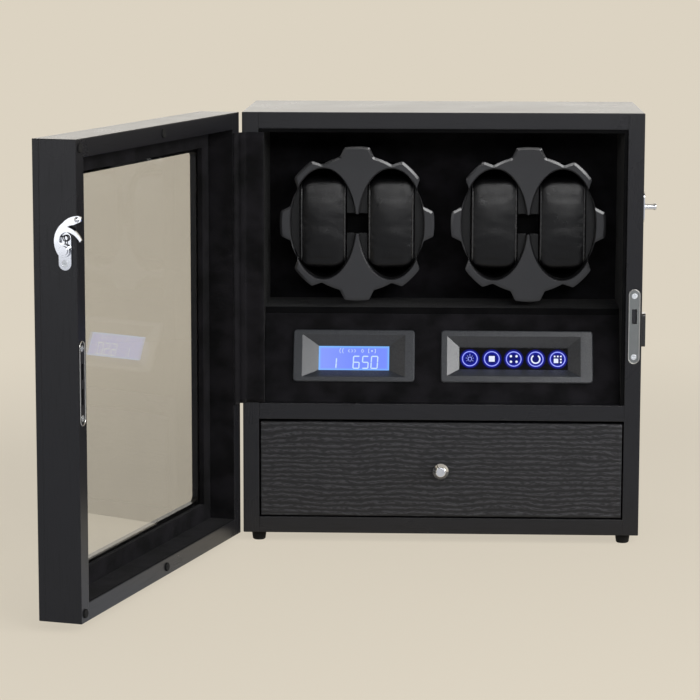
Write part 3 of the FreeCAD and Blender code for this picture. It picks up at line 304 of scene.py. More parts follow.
def velvet(name, lying, raised):
    """Black flock whose brushed nap goes from the lying to the raised colour, with short fibres."""
    finish = Finish(name)
    place = finish.place()
    nap = finish.clouds(place, (0.022, 0.022, 0.018), 4).rise(0.3, 0.7)
    fibre = finish.clouds(place, (0.5 * MM, 0.5 * MM, 0.5 * MM), 2)
    finish.surface({
        "Base Color": finish.blend(nap, lying, raised),
        "Roughness": 0.85 + 0.1 * fibre,
        "Specular IOR Level": 0.08,
        "Sheen Weight": 0.03,
        "Sheen Roughness": 0.35,
        "Normal": finish.relief(0.18 * fibre + 0.3 * nap, 1.2 * MM),
    })
    return finish


black_velvet = velvet("black_velvet", tone(9, 9, 10), tone(23, 22, 25))
dress(black_velvet, "inner_back_panel", "console_panel")
# Painted shade: a darker copy of the same velvet for the side linings, ceiling and shelf, which lie
# in shade; black_velvet is the lit copy.
painted_shade_velvet = velvet("painted_shade_velvet", tone(2, 2, 3), tone(7, 7, 8))
dress(painted_shade_velvet, "side_linings", "ceiling_lining", "console_shelf")


# Display. A moulded grey frame slopes down to a backlit blue screen, and the lit bars of its
# figures lie just above the screen's face. The frame is pressed into the console from the front.

def moulding(name, colour, dull, edge):
    """Satin plastic with the fine grain of an eroded mould and corners rounded by edge metres."""
    finish = Finish(name)
    place = finish.place()
    grain = finish.clouds(place, (0.35 * MM, 0.35 * MM, 0.35 * MM))
    flow = finish.clouds(place, (0.03, 0.03, 0.03))
    darker = tuple(0.8 * level for level in colour[:3]) + (1.0,)
    finish.surface({
        "Base Color": finish.blend(flow, colour, darker),
        "Roughness": dull + 0.1 * grain,
        "Specular IOR Level": 0.45,
        "Normal": finish.relief(0.012 * grain, edge),
    })
    return finish


bezel_plastic = moulding("bezel_plastic", tone(52, 54, 58), 0.22, 0.6 * MM)
dress(bezel_plastic, "display_bezel", "touch_bezel")

CONSOLE_TILT = math.radians(23.5)
MODULE_DEPTH = 6.0
console_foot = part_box("console_panel")[0]
console_up = Vector((0, math.sin(CONSOLE_TILT), math.cos(CONSOLE_TILT)))
console_out = Vector((0, -math.cos(CONSOLE_TILT), math.sin(CONSOLE_TILT)))


def on_console(x, rise, lift):
    """A point on the console: millimetres across, up the slope and out of the screen's face."""
    across = Vector((x * MM, console_foot.y, console_foot.z))
    return across + console_up * rise * MM + console_out * (lift - MODULE_DEPTH) * MM


DOT_SIDES = 16


class Tracery:
    """Thin raised shapes on the console, gathered into one piece."""

    def __init__(self, low, high):
        self.low = low
        self.high = high
        self.corners = []
        self.faces = []

    def plate(self, outline):
        start = len(self.corners)
        count = len(outline)
        for lift in (self.low, self.high):
            self.corners += [on_console(x, rise, lift) for x, rise in outline]
        self.faces.append(tuple(start + count + step for step in range(count)))
        for step in range(count):
            following = (step + 1) % count
            self.faces.append((start + step, start + following,
                               start + count + following, start + count + step))

    def bar(self, start, end, width):
        """A straight bar with pointed ends."""
        first = Vector(start)
        last = Vector(end)
        run = (last - first).normalized() * width / 2
        side = Vector((-run.y, run.x))
        points = (first, first + run - side, last - run - side,
                  last, last - run + side, first + run + side)
        self.plate([(point.x, point.y) for point in points])

    def square(self, x, rise, side):
        half = side / 2
        self.plate([(x - half, rise - half), (x + half, rise - half),
                    (x + half, rise + half), (x - half, rise + half)])

    def arc(self, x, rise, radius, width, start=0.0, end=360.0):
        """A curved stroke from start to end degrees, anticlockwise from three o'clock."""
        steps = max(6, round((end - start) / 9))
        for step in range(steps):
            ends = []
            for share in (step / steps, (step + 1) / steps):
                angle = math.radians(start + (end - start) * share)
                ends.append((math.cos(angle), math.sin(angle)))
            outer = radius + width / 2
            inner = radius - width / 2
            (c0, s0), (c1, s1) = ends
            self.plate([(x + inner * c0, rise + inner * s0), (x + outer * c0, rise + outer * s0),
                        (x + outer * c1, rise + outer * s1), (x + inner * c1, rise + inner * s1)])

    def dot(self, x, rise, radius):
        angles = [math.radians(360 * step / DOT_SIDES) for step in range(DOT_SIDES)]
        self.plate([(x + radius * math.cos(angle), rise + radius * math.sin(angle))
                    for angle in angles])

    def piece(self, name, slot, finish):
        return make(name, self.corners, self.faces, "cabinet", finish)


def glow(name, colour, spread):
    """A lit surface; spread is a second colour that the light fades to in patches."""
    finish = Finish(name)
    patches = finish.clouds(finish.place(), (4 * MM, 4 * MM, 4 * MM))
    finish.surface({
        "Base Color": tone(8, 8, 12),
        "Roughness": 0.25,
        "Emission Color": finish.blend(patches, colour, spread),
        "Emission Strength": 1.0,
    })
    return finish


def console_rise(finish, place):
    """How far up the console a point lies, in metres."""
    foot = (0, console_foot.y, console_foot.z)
    offset = finish.node("VectorMath", {"operation": "SUBTRACT"}, {0: place, 1: foot})
    sockets = {0: offset, 1: console_up}
    return finish.node("VectorMath", {"operation": "DOT_PRODUCT"}, sockets, "Value")


SCREEN_X = (-100.0, -42.6)
SCREEN_RISE = (28.2, 48.6)
backlight = Finish("backlight")
screen_place = backlight.place()
screen_across = backlight.part_of(screen_place, "X")
screen_up = console_rise(backlight, screen_place)
from_left = screen_across - SCREEN_X[0] * MM
from_right = SCREEN_X[1] * MM - screen_across
from_low = screen_up - SCREEN_RISE[0] * MM
from_high = SCREEN_RISE[1] * MM - screen_up
from_edge = from_left.least(from_right).least(from_low.least(from_high))
halo = 1 - from_edge.rise(0, 2.4 * MM)
lamp_side = 1 - from_left.rise(0, 34 * MM)
screen_blue = backlight.blend(0.4 * lamp_side, tone(114, 138, 250), tone(152, 170, 250))
backlight.surface({
    "Base Color": tone(10, 12, 30),
    "Roughness": 0.3,
    "Emission Color": backlight.blend(0.75 * halo, screen_blue, tone(122, 196, 255)),
    "Emission Strength": 1.0,
})
dress(backlight, "display_module")

lit_white = glow("lit_white", tone(214, 236, 255), tone(188, 220, 255))
lit_pale = glow("lit_pale", tone(214, 232, 255), tone(196, 218, 255))
DIGIT_BARS = {
    "top": ((0, 1), (1, 1)),
    "upper_right": ((1, 1), (1, 0.5)),
    "lower_right": ((1, 0.5), (1, 0)),
    "bottom": ((0, 0), (1, 0)),
    "lower_left": ((0, 0), (0, 0.5)),
    "upper_left": ((0, 0.5), (0, 1)),
    "middle": ((0, 0.5), (1, 0.5)),
}
DIGITS = {
    "0": ("top", "upper_right", "lower_right", "bottom", "lower_left", "upper_left"),
    "1": ("upper_right", "lower_right"),
    "5": ("top", "upper_left", "middle", "lower_right", "bottom"),
    "6": ("top", "upper_left", "middle", "lower_left", "lower_right", "bottom"),
}
BAR_WIDTH = 0.95
BAR_INSET = 0.55
DIGIT_LEAN = 0.5
DIGIT_FOOT = 1.3
figures = Tracery(0.02, 0.12)


def figure(digit, left, width, height):
    """One seven-bar digit, left millimetres from the screen's left edge, leaning a little."""
    for bar in DIGITS[digit]:
        ends = []
        for across, up in DIGIT_BARS[bar]:
            x = left + BAR_INSET + across * (width - 2 * BAR_INSET) + DIGIT_LEAN * up
            rise = DIGIT_FOOT + BAR_INSET + up * (height - 2 * BAR_INSET)
            ends.append((SCREEN_X[0] + x, SCREEN_RISE[0] + rise))
        figures.bar(*ends, BAR_WIDTH)


figure("1", 9.2, 5.4, 9.6)
figure("6", 27.4, 5.9, 11.2)
figure("5", 34.9, 5.7, 11.2)
figure("0", 42.0, 6.2, 11.2)
figures.piece("display_figures", "display", lit_white)

SIGN_LINE = 0.4
sign_rise = SCREEN_RISE[0] + 16.5
signs = Tracery(0.02, 0.1)
arcs_x = SCREEN_X[0] + 19.6
for shift in (0.0, 2.2):
    signs.arc(arcs_x + shift, sign_rise, 2.6, SIGN_LINE, 130, 230)
for shift, way in ((24.6, -1), (27.0, 1), (29.4, 1)):
    tip = SCREEN_X[0] + shift + 0.7 * way
    for up in (1.4, -1.4):
        signs.bar((tip - 1.3 * way, sign_rise + up), (tip, sign_rise), SIGN_LINE)
diamond_x = SCREEN_X[0] + 35.6
diamond = [(diamond_x - 1.1, sign_rise), (diamond_x, sign_rise + 1.5),
           (diamond_x + 1.1, sign_rise), (diamond_x, sign_rise - 1.5)]
for start, end in zip(diamond, diamond[1:] + diamond[:1]):
    signs.bar(start, end, 0.35)
bracket_x = SCREEN_X[0] + 43.3
for way in (-1, 1):
    edge = bracket_x + 2.8 * way
    signs.bar((edge, sign_rise - 1.7), (edge, sign_rise + 1.7), 0.45)
    for up in (1.6, -1.6):
        signs.bar((edge, sign_rise + up), (edge - 0.9 * way, sign_rise + up), SIGN_LINE)
signs.dot(bracket_x, sign_rise, 0.7)
signs.piece("display_signs", "display", lit_pale)


# Touch strip. A black glass panel behind the second frame; five printed rings are lit from behind
# by blue lamps, each with its own sign, and work by touch without moving.

TOUCH_X = 23.0
TOUCH_PITCH = 17.8
TOUCH_RISE = 38.8
RING_R = 6.0
touch_glass = Finish("touch_glass")
touch_place = touch_glass.place()
touch_across = touch_glass.part_of(touch_place, "X") - (TOUCH_X - TOUCH_PITCH / 2) * MM
wrap_sockets = {0: touch_across, 1: 0.0, 2: TOUCH_PITCH * MM}
wrapped = touch_glass.node("Math", {"operation": "WRAP"}, wrap_sockets)
ring_across = wrapped - TOUCH_PITCH / 2 * MM
ring_up = console_rise(touch_glass, touch_place) - TOUCH_RISE * MM
ring_far = (ring_across * ring_across + ring_up * ring_up) ** 0.5
inside_ring = 1 - ring_far.rise((RING_R - 0.2) * MM, (RING_R + 0.2) * MM)
near_ring = 1 - abs(ring_far - RING_R * MM).rise(0.2 * MM, 2.6 * MM)
lamp_blue = touch_glass.blend(inside_ring, tone(0, 0, 0), tone(8, 16, 104))
smear = touch_glass.clouds(touch_place, (9 * MM, 9 * MM, 9 * MM), 3)
touch_glass.surface({
    "Base Color": tone(5, 5, 6),
    "Roughness": 0.06 + 0.06 * smear,
    "Emission Color": touch_glass.blend(near_ring * 0.75, lamp_blue, tone(16, 26, 178)),
    "Emission Strength": 1.0,
})
dress(touch_glass, "touch_panel")

lit_ring = glow("lit_ring", tone(158, 166, 255), tone(140, 150, 248))
lit_sign = glow("lit_sign", tone(238, 242, 255), tone(216, 224, 255))
ring_x = [TOUCH_X + TOUCH_PITCH * step for step in range(5)]
rings = Tracery(0.02, 0.1)
for x in ring_x:
    rings.arc(x, TOUCH_RISE, RING_R, 0.8)
lamp_x, square_x, dots_x, turn_x, grid_x = ring_x
rings.arc(lamp_x, TOUCH_RISE - 0.1, 1.5, 0.6, -60, 240)
for foot_x in (lamp_x - 0.5, lamp_x + 0.5):
    rings.bar((foot_x, TOUCH_RISE - 1.5), (foot_x, TOUCH_RISE - 2.5), 0.5)
rings.bar((lamp_x, TOUCH_RISE + 2.5), (lamp_x, TOUCH_RISE + 4.1), 0.6)
lamp_middle = Vector((lamp_x, TOUCH_RISE))
for angle in (-35, 10, 50, 130, 170, 215):
    way = Vector((math.cos(math.radians(angle)), math.sin(math.radians(angle))))
    rings.bar(lamp_middle + 2.3 * way, lamp_middle + 3.5 * way, 0.4)
rings.piece("touch_rings", "touch_glass", lit_ring)

marks = Tracery(0.02, 0.12)
marks.square(square_x, TOUCH_RISE, 4.7)
for across in (-2.3, 2.3):
    for up in (-2.3, 2.3):
        marks.dot(dots_x + across, TOUCH_RISE + up, 1.0)
marks.arc(turn_x, TOUCH_RISE, 3.4, 1.15, 122, 418)
marks.square(grid_x - 1.3, TOUCH_RISE - 1.3, 3.6)
for across, up in ((-2.4, 2.4), (0.1, 2.4), (2.6, 2.4), (2.6, -0.1), (2.6, -2.5)):
    marks.square(grid_x + across, TOUCH_RISE + up, 1.3)
marks.piece("touch_marks", "touch_glass", lit_sign)


# Control board and drive. A green circuit board on posts behind the console, two geared motors with
# plated cans, brass bushings, steel shafts with pulleys, and rubber belts behind the back panel.

circuit = Finish("circuit_board")
circuit_place = circuit.place()
tracks = circuit.clouds(circuit_place, (1.2 * MM, 6 * MM, 3 * MM)).rise(0.5, 0.54)
circuit.surface({
    "Base Color": circuit.blend(tracks, tone(22, 74, 44), tone(36, 104, 62)),
    "Roughness": 0.3 + 0.15 * tracks,
    "Normal": circuit.relief(0.03 * tracks, 0.2 * MM),
})
dress(circuit, "control_board")
brass = metal("brass", (0.72, 0.54, 0.27, 1.0), 0.26, 0.1, 0.3 * MM)
dress(brass, "rotor_bushings")
motor_plating = metal("motor_plating", (0.4, 0.4, 0.41, 1.0), 0.34, 0.1, 0.4 * MM)
dress(motor_plating, "drive_motors")
steel = metal("steel", (0.5, 0.5, 0.51, 1.0), 0.32, 0.1, 0.3 * MM)
dress(steel, "rotor_drive_left", "rotor_drive_right", "motor_drive_left", "motor_drive_right")


# Rotors. Each is a toothed charcoal moulding with two oval recesses, screwed to a near-black cradle
# of two tubs behind it; a bore through the cradle's hub is pressed on the steel shaft. The recesses
# and the cradle carry painted shade.

CHARCOAL = tone(27, 27, 29)
rotor_plastic = moulding("rotor_plastic", CHARCOAL, 0.34, 1.1 * MM)
# Painted shade: the face turns darker and loses its coat with depth into the oval recesses,
# standing in for the shade there.
rotor_depth = rotor_plastic.part_of(rotor_plastic.place(), "Y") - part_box("rotor_left")[0].y
painted_recess_shade = rotor_depth.rise(1.5 * MM, 5 * MM)
rotor_plastic.surface({
    "Base Color": rotor_plastic.blend(painted_recess_shade, CHARCOAL, tone(14, 14, 15)),
    "Specular IOR Level": 0.24,
    "Coat Weight": 0.75 - 0.75 * painted_recess_shade,
    "Coat Roughness": 0.12,
})
dress(rotor_plastic, "rotor_left", "rotor_right")
# Painted shade: the cradle is coloured near-black so the slot between the recesses reads as shaded.
cradle_painted_shade = moulding("cradle_painted_shade", tone(6, 6, 7), 0.75, 0.5 * MM)
cradle_painted_shade.surface({"Specular IOR Level": 0.06})
dress(cradle_painted_shade, "rotor_cradle_left", "rotor_cradle_right")


# Cuff cushions. Foam blocks covered in black grained leather: one long panel runs round the cushion
# and meets two side panels at corded seams. Each is squeezed into its tub by hand.

leather = Finish("pillow_leather")
hide = leather.place()
cell_sockets = {"Vector": hide, "Scale": 1150.0}
cells = leather.node("TexVoronoi", {"feature": "DISTANCE_TO_EDGE"}, cell_sockets)
furrow = 1 - cells.rise(0.0, 0.22)
worn = leather.clouds(hide, (9 * MM, 9 * MM, 14 * MM), 3)
leather.surface({
    "Base Color": leather.blend(worn, tone(3, 3, 4), tone(9, 9, 10)),
    "Roughness": 0.24 + 0.1 * worn + 0.06 * furrow,
    "Specular IOR Level": 0.27,
    "Normal": leather.relief(-0.03 * furrow + 0.1 * worn, 0.3 * MM),
})
# Painted highlight: the cords are coloured much lighter than the cushion's leather to stand in for
# the glint along the seams, and wear varies this in patches.
cord_leather = Finish("cord_leather")
cord_wear_and_glint = cord_leather.clouds(cord_leather.place(), (2 * MM, 2 * MM, 3 * MM), 3)
cord_leather.surface({
    "Base Color": cord_leather.blend(cord_wear_and_glint, tone(26, 26, 27), tone(54, 54, 55)),
    "Roughness": 0.2 + 0.14 * cord_wear_and_glint,
    "Normal": cord_leather.relief(0.08 * cord_wear_and_glint, 0.1 * MM),
})

WORKING_SCALE = 10
SLACK = (0.92, 0.95, 0.97, 1)
SKIN_VOXEL = 13 * MM
SEAM_SHARE = 0.93
PRESSURE = 4.0
SWELL_STEPS = 20
SWELL_LIMIT = 20 * MM


def shown_mesh(piece):
    """The mesh of a piece with its modifiers applied."""
    bpy.context.view_layer.update()
    drawn = piece.evaluated_get(bpy.context.evaluated_depsgraph_get())
    return bpy.data.meshes.new_from_object(drawn)


def stuffed(node):
    """A cushion's skin about its own middle, blown up as cloth between its two side seams."""
    low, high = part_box(node)
    half = (high - low) / 2
    tight = Matrix.Diagonal(SLACK) * WORKING_SCALE
    skin = frame["nodes"][node].data.copy()
    skin.transform(tight.to_3x3().to_4x4() @ Matrix.Translation(-(low + high) / 2))
    form = bpy.data.objects.new("cushion_form", skin)
    bpy.context.scene.collection.objects.link(form)
    remesh = form.modifiers.new("even_skin", "REMESH")
    remesh.mode = "VOXEL"
    remesh.voxel_size = SKIN_VOXEL
    form.data = shown_mesh(form)
    form.modifiers.clear()
    rest = [vertex.co.copy() for vertex in form.data.vertices]
    reach = max(abs(point.x) for point in rest)
    seam = form.vertex_groups.new(name="seam")
    pinned = [index for index, point in enumerate(rest) if abs(point.x) > SEAM_SHARE * reach]
    seam.add(pinned, 1.0, "REPLACE")
    cloth = form.modifiers.new("swell", "CLOTH")
    cloth.settings.use_pressure = True
    cloth.settings.uniform_pressure_force = PRESSURE
    cloth.settings.vertex_group_mass = "seam"
    cloth.settings.effector_weights.gravity = 0.0
    for step in range(1, SWELL_STEPS + 1):
        bpy.context.scene.frame_set(step)
    swollen = shown_mesh(form)
    form.modifiers.clear()
    bpy.context.scene.frame_set(1)
    for vertex, start, blown in zip(form.data.vertices, rest, swollen.vertices):
        move = blown.co - start
        vertex.co = start + move * min(1.0, SWELL_LIMIT / max(move.length, MM))
    extent = [max(abs(vertex.co[axis]) for vertex in form.data.vertices) for axis in range(3)]
    fit = [half[axis] / extent[axis] for axis in range(3)]
    form.data.transform(Matrix.Diagonal((*fit, 1)))
    done = form.data.copy()
    bpy.data.objects.remove(form)
    return done, half


cushion_skin, cushion_half = stuffed("pillow_left_b")
BARREL = 0.2
BARREL_POWER = 2.5
SEWN_CORNER = 17 * MM
FRONT_CORNER = 4.5 * MM
CREASE_Z = -30 * MM
CREASE_WIDTH = 2.2 * MM
GATHER_EDGE = 0.86
WRINKLE_DEPTH = 0.35
GATHER_DEPTH = 0.12
CREASE_DEPTH = 0.5
WRINKLE_ROOM = 0.3


def skin_reach(place, corner):
    """How far the round-cornered outline of a cushion reaches from its middle towards place."""
    way = Vector((abs(place.y), abs(place.z))).normalized()
    core = Vector((cushion_half.y - corner, cushion_half.z - corner))
    flat = min(cushion_half.y / max(way.x, 1e-6), cushion_half.z / max(way.y, 1e-6))
    if way.x * flat <= core.x or way.y * flat <= core.y:
        return flat
    along = way.dot(core)
    return along + math.sqrt(along ** 2 - core.length_squared + corner ** 2)


for vertex in cushion_skin.vertices:
    place = vertex.co
    if place.y < 0:
        fuller = skin_reach(place, FRONT_CORNER) / skin_reach(place, SEWN_CORNER)
        place.yz = place.yz * fuller
    place.y *= 1 - BARREL * abs(place.z / cushion_half.z) ** BARREL_POWER
    edge = abs(place.x) / cushion_half.x
    wrinkle = noise.noise(Vector((place.x * 60, place.y * 170, place.z * 170)))
    crease = math.exp(-((place.z - CREASE_Z) / CREASE_WIDTH) ** 2)
    crease *= max(0.0, 1 - (edge / 0.8) ** 2)
    gather = math.exp(-((edge - GATHER_EDGE) / 0.1) ** 2)
    gather *= math.sin(place.z / (1.1 * MM)) + math.sin(place.y / (1.3 * MM))
    lift = WRINKLE_DEPTH * wrinkle + GATHER_DEPTH * gather - CREASE_DEPTH * crease
    place += Vector((0, place.y, place.z)).normalized() * (lift - WRINKLE_ROOM) * MM


def bead(path, radius, flat_axis, closed, around=8):
    """Corners and faces of a round bead along a line of points that lies square to flat_axis."""
    corners = []
    faces = []
    count = len(path)
    for step, point in enumerate(path):
        before = path[(step - 1) % count] if closed else path[max(step - 1, 0)]
        after = path[(step + 1) % count] if closed else path[min(step + 1, count - 1)]
        side = (after - before).cross(flat_axis).normalized()
        for turn in range(around):
            angle = 2 * math.pi * turn / around
            corners.append(point + radius * (math.cos(angle) * side + math.sin(angle) * flat_axis))
    for step in range(count if closed else count - 1):
        here = step * around
        beside = (step + 1) % count * around
        for turn in range(around):
            following = (turn + 1) % around
            faces.append((here + turn, beside + turn, beside + following, here + following))
    if not closed:
        faces.append(tuple(range(around - 1, -1, -1)))
        faces.append(tuple((count - 1) * around + turn for turn in range(around)))
    return corners, faces


seam_tree = BVHTree.FromPolygons([vertex.co for vertex in cushion_skin.vertices],
                                 [tuple(face.vertices) for face in cushion_skin.polygons])
CORD_R = 0.8 * MM
CORD_SHARE = 0.955
CORD_POINTS = 120
cord_corners = []
cord_faces = []
for way in (-1, 1):
    seam_x = way * CORD_SHARE * cushion_half.x
    path = []
    for step in range(CORD_POINTS):
        angle = 2 * math.pi * step / CORD_POINTS
        outward = Vector((0, math.cos(angle), math.sin(angle)))
        hit = seam_tree.ray_cast(Vector((seam_x, 0, 0)) + outward * 0.1, -outward)[0]
        path.append(hit + outward * 0.1 * MM)
    for passing in range(3):
        path = [(path[step - 1] + path[step] + path[(step + 1) % CORD_POINTS]) / 3
                for step in range(CORD_POINTS)]
    corners, faces = bead(path, CORD_R, Vector((1, 0, 0)), True)
    cord_faces += [tuple(index + len(cord_corners) for index in face) for face in faces]
    cord_corners += corners

for side in ("left", "right"):
    for pocket, mirror in (("a", -1), ("b", 1)):
        name = side + "_" + pocket
        low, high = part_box("pillow_" + name)
        spot = Matrix.Translation((low + high) / 2) @ Matrix.Diagonal((mirror, 1, 1, 1))
        mesh = cushion_skin.copy()
        mesh.transform(spot)
        if mirror < 0:
            mesh.flip_normals()
        mesh.materials.clear()
        mesh.materials.append(leather.material)
        mesh.shade_smooth()
        cushion = bpy.data.objects.new("cushion_" + name, mesh)
        bpy.context.scene.collection.objects.link(cushion)
        cushion.modifiers.new("smooth_skin", "SUBSURF").render_levels = 1
        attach(cushion, "cushion_" + name)
        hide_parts("pillow_" + name)
        corners = [spot @ corner for corner in cord_corners]
        make("cushion_cords_" + name, corners, cord_faces,
             "cushion_" + name, cord_leather)


# Lock. A gunmetal faceplate with a bright rim is screwed into the right wall's front edge, with the
# blackened bolt and the case behind it; the plug sits in a black enamelled escutcheon on the side.

gunmetal = metal("gunmetal", (0.24, 0.25, 0.245, 1.0), 0.3, 0.08, 0.3 * MM)
dress(gunmetal, "lock_faceplate")
blackened = metal("blackened_steel", (0.05, 0.05, 0.055, 1.0), 0.38, 0.1, 0.3 * MM)
dress(blackened, "lock_bolt", "strike_plate")
dress(steel, "lock_case", "lock_plug")

walls_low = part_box("cabinet_left_wall")[0]


def spot_at(x, y, z):
    """A point in millimetres right of the middle, behind the front and above the underside."""
    return Vector((x * MM, walls_low.y + y * MM, walls_low.z + z * MM))


PLATE_X = 153.9
PLATE_Z = 170.7
PLATE_HALF = 25.5
PLATE_R = 4.2
RIM_R = 0.4 * MM
FACEPLATE_Y = -0.3


def plate_rim(y):
    """Corners and faces of the bead round a lock plate, y millimetres behind the front."""
    path = []
    for end, turn in ((1, 0), (-1, 180)):
        for step in range(13):
            angle = math.radians(15 * step + turn)
            across = PLATE_R * math.cos(angle)
            up = end * PLATE_HALF + PLATE_R * math.sin(angle)
            path.append(spot_at(PLATE_X + across, y, PLATE_Z + up))
    return bead(path, RIM_R, Vector((0, -1, 0)), True)


rim_corners, rim_faces = plate_rim(FACEPLATE_Y)
make("lock_rim", rim_corners, rim_faces, "cabinet", nickel)
enamel = Finish("black_enamel")
enamel_skin = enamel.clouds(enamel.place(), (2 * MM, 2 * MM, 2 * MM), 3)
enamel.surface({
    "Base Color": enamel.blend(enamel_skin, tone(14, 14, 15), tone(24, 24, 25)),
    "Roughness": 0.2 + 0.12 * enamel_skin,
    "Coat Weight": 0.4,
    "Coat Roughness": 0.1,
    "Normal": enamel.relief(0.02 * enamel_skin, 0.8 * MM),
})
dress(enamel, "key_escutcheon")


# Drawer. A box of black stained board behind a veneered front, whose wavy growth lines are broken
# into pale flecks; inside is a flocked tray, and a turned chrome knob is screwed on from behind.

GROWTH_PITCH = 4.2 * MM
GROWTH_WAVE = 10 * MM
veneer = Finish("drawer_veneer")
veneer_place = veneer.place()
swirl = veneer.clouds(veneer_place, (0.05, 0.05, 0.02), 3)
lifted = veneer.node("CombineXYZ", {}, {2: swirl * GROWTH_WAVE})
waved = veneer.node("VectorMath", {"operation": "ADD"}, {0: veneer_place, 1: lifted})
growth = veneer.part_of(waved, "Z") * (2 * math.pi / GROWTH_PITCH)
band = 0.5 + 0.5 * growth.sine()
fleck = veneer.clouds(waved, (4.5 * MM, 4.5 * MM, 0.9 * MM), 3).rise(0.4, 0.62)
streak = band * (0.15 + 0.85 * fleck)
veneer.surface({
    "Base Color": veneer.blend(streak, tone(17, 17, 19), tone(54, 54, 58)),
    "Roughness": 0.5 - 0.12 * streak,
    "Specular IOR Level": 0.34,
    "Normal": veneer.relief(0.16 * streak, 0.7 * MM),
})
dress(veneer, "drawer_front")
stained = Finish("stained_board")
lacquer(stained, stained.place(), (PORE, PORE_RUN, PORE), 0.5)
dress(stained, "drawer_sides", "drawer_floor")
dress(black_velvet, "drawer_liner")
chrome = metal("chrome", (0.82, 0.83, 0.86, 1.0), 0.06, 0.03, 0.25 * MM)
dress(chrome, "drawer_knob")


# Door. Stiles and rails of lacquered board are glued behind a face board with a round-cornered
# window; the pane lies against the face, held by flocked beads, and the reveal is flocked as well.

hinge = next(joint for joint in frame["joints"] if joint["name"] == "door_hinge")
hinge_point = Vector(hinge["pos_m"])
DOOR_OPEN = -math.radians(hinge["range_deg"][0])
opened = (Matrix.Translation(hinge_point) @ Matrix.Rotation(-DOOR_OPEN, 4, "Z")
          @ Matrix.Translation(-hinge_point))


def door_place(finish):
    """Where a point of the open door lies when the door is closed."""
    sockets = {"Vector": finish.place(), "Center": hinge_point, "Angle": DOOR_OPEN}
    return finish.node("VectorRotate", {"rotation_type": "Z_AXIS"}, sockets)


stile_lacquer = Finish("stile_lacquer")
lacquer(stile_lacquer, door_place(stile_lacquer), (PORE, PORE, PORE_RUN), SATIN)
rail_lacquer = Finish("rail_lacquer")
lacquer(rail_lacquer, door_place(rail_lacquer), (PORE_RUN, PORE, PORE), SATIN)
dress(stile_lacquer, "door_stiles", "door_face_frame")
dress(rail_lacquer, "door_rails")
dress(rubber, "door_bumpers")
dress(black_velvet, "glass_beads")

pane = Finish("door_pane")
dust = pane.clouds(pane.place(), (0.05, 0.05, 0.05), 4)
pane.surface({
    "Base Color": pane.blend(dust, tone(229, 228, 224), tone(223, 222, 219)),
    "Roughness": 0.002 * dust,
    "Transmission Weight": 1.0,
    "IOR": 1.5,
})
dress(pane, "door_glass")

BOX_FACES = ((0, 1, 3, 2), (4, 6, 7, 5), (0, 4, 5, 1), (2, 3, 7, 6), (0, 2, 6, 4), (1, 5, 7, 3))


def boxes(limits, carry):
    """Corners and faces of boxes between (x, y, z) limits in millimetres, each moved by carry."""
    corners = []
    faces = []
    for x0, x1, y0, y1, z0, z1 in limits:
        start = len(corners)
        for x in (x0, x1):
            for y in (y0, y1):
                for z in (z0, z1):
                    corners.append(carry @ spot_at(x, y, z))
        faces += [tuple(start + index for index in face) for face in BOX_FACES]
    return corners, faces


REVEAL_X = 147.0
REVEAL_Z = (13.0, 328.0)
REVEAL_Y = (-22.9, -2.4)
FLOCK = 0.35
reveal_corners, reveal_faces = boxes([
    (-REVEAL_X, -REVEAL_X + FLOCK, *REVEAL_Y, *REVEAL_Z),
    (REVEAL_X - FLOCK, REVEAL_X, *REVEAL_Y, *REVEAL_Z),
    (-REVEAL_X + FLOCK, REVEAL_X - FLOCK, *REVEAL_Y, REVEAL_Z[0], REVEAL_Z[0] + FLOCK),
    (-REVEAL_X + FLOCK, REVEAL_X - FLOCK, *REVEAL_Y, REVEAL_Z[1] - FLOCK, REVEAL_Z[1]),
], opened)
make("door_reveal", reveal_corners, reveal_faces, "door", black_velvet)

STRIKE_Y = -1.7
strike_corners, strike_faces = plate_rim(STRIKE_Y)
strike_corners = [opened @ corner for corner in strike_corners]
make("strike_rim", strike_corners, strike_faces, "door", nickel)


# Hinges. Two steel butt hinges are let into the wall and the stile, and one velvet strip is glued
# over them from the wall's front edge, round the knuckles, to the door's inner face.

dress(steel, "hinge_leaves_cabinet", "hinge_leaves_door", "hinge_pins")

STRIP_T = 0.5 * MM
STRIP_Z = (107.0, 325.0)
BEND_R = 3.4 * MM
strip_plan = [spot_at(-142.6, 0.7, 0), spot_at(-143.2, -0.25, 0), spot_at(-144.2, -0.6, 0)]
strip_plan += [spot_at(x, -0.62, 0) for x in (-147, -150, -153, -156)]
bend_steps = 14
bend = []
for step in range(bend_steps + 1):
    angle = -DOOR_OPEN * step / bend_steps
    turned = Vector((BEND_R * math.cos(angle), BEND_R * math.sin(angle), 0))
    bend.append(Vector((hinge_point.x, hinge_point.y, walls_low.z)) + turned)
strip_plan += bend
for closed_x in (-154.5, -152.0, -149.5, -147.2):
    strip_plan.append(opened @ spot_at(closed_x, -1.4, 0))
strip_plan.append(opened @ spot_at(-146.7, -2.0, 0))
strip_rows = 60
strip_corners = []
for row in range(strip_rows + 1):
    share = row / strip_rows
    height = walls_low.z + (STRIP_Z[0] + (STRIP_Z[1] - STRIP_Z[0]) * share) * MM
    for step, point in enumerate(strip_plan):
        ripple = 0.16 * MM * noise.noise(Vector((step * 0.35, share * 9.0, 3.0)))
        loose = ripple if 0 < step < len(strip_plan) - 1 else 0.5 * ripple
        strip_corners.append(Vector((point.x + loose, point.y - abs(loose), height)))
strip_across = len(strip_plan)
strip_faces = []
for row in range(strip_rows):
    for step in range(strip_across - 1):
        here = row * strip_across + step
        strip_faces.append((here, here + 1, here + strip_across + 1, here + strip_across))
strip_mesh = bpy.data.meshes.new("hinge_strip")
strip_mesh.from_pydata(strip_corners, [], strip_faces)
strip_mesh.materials.append(black_velvet.material)
strip_mesh.shade_smooth()
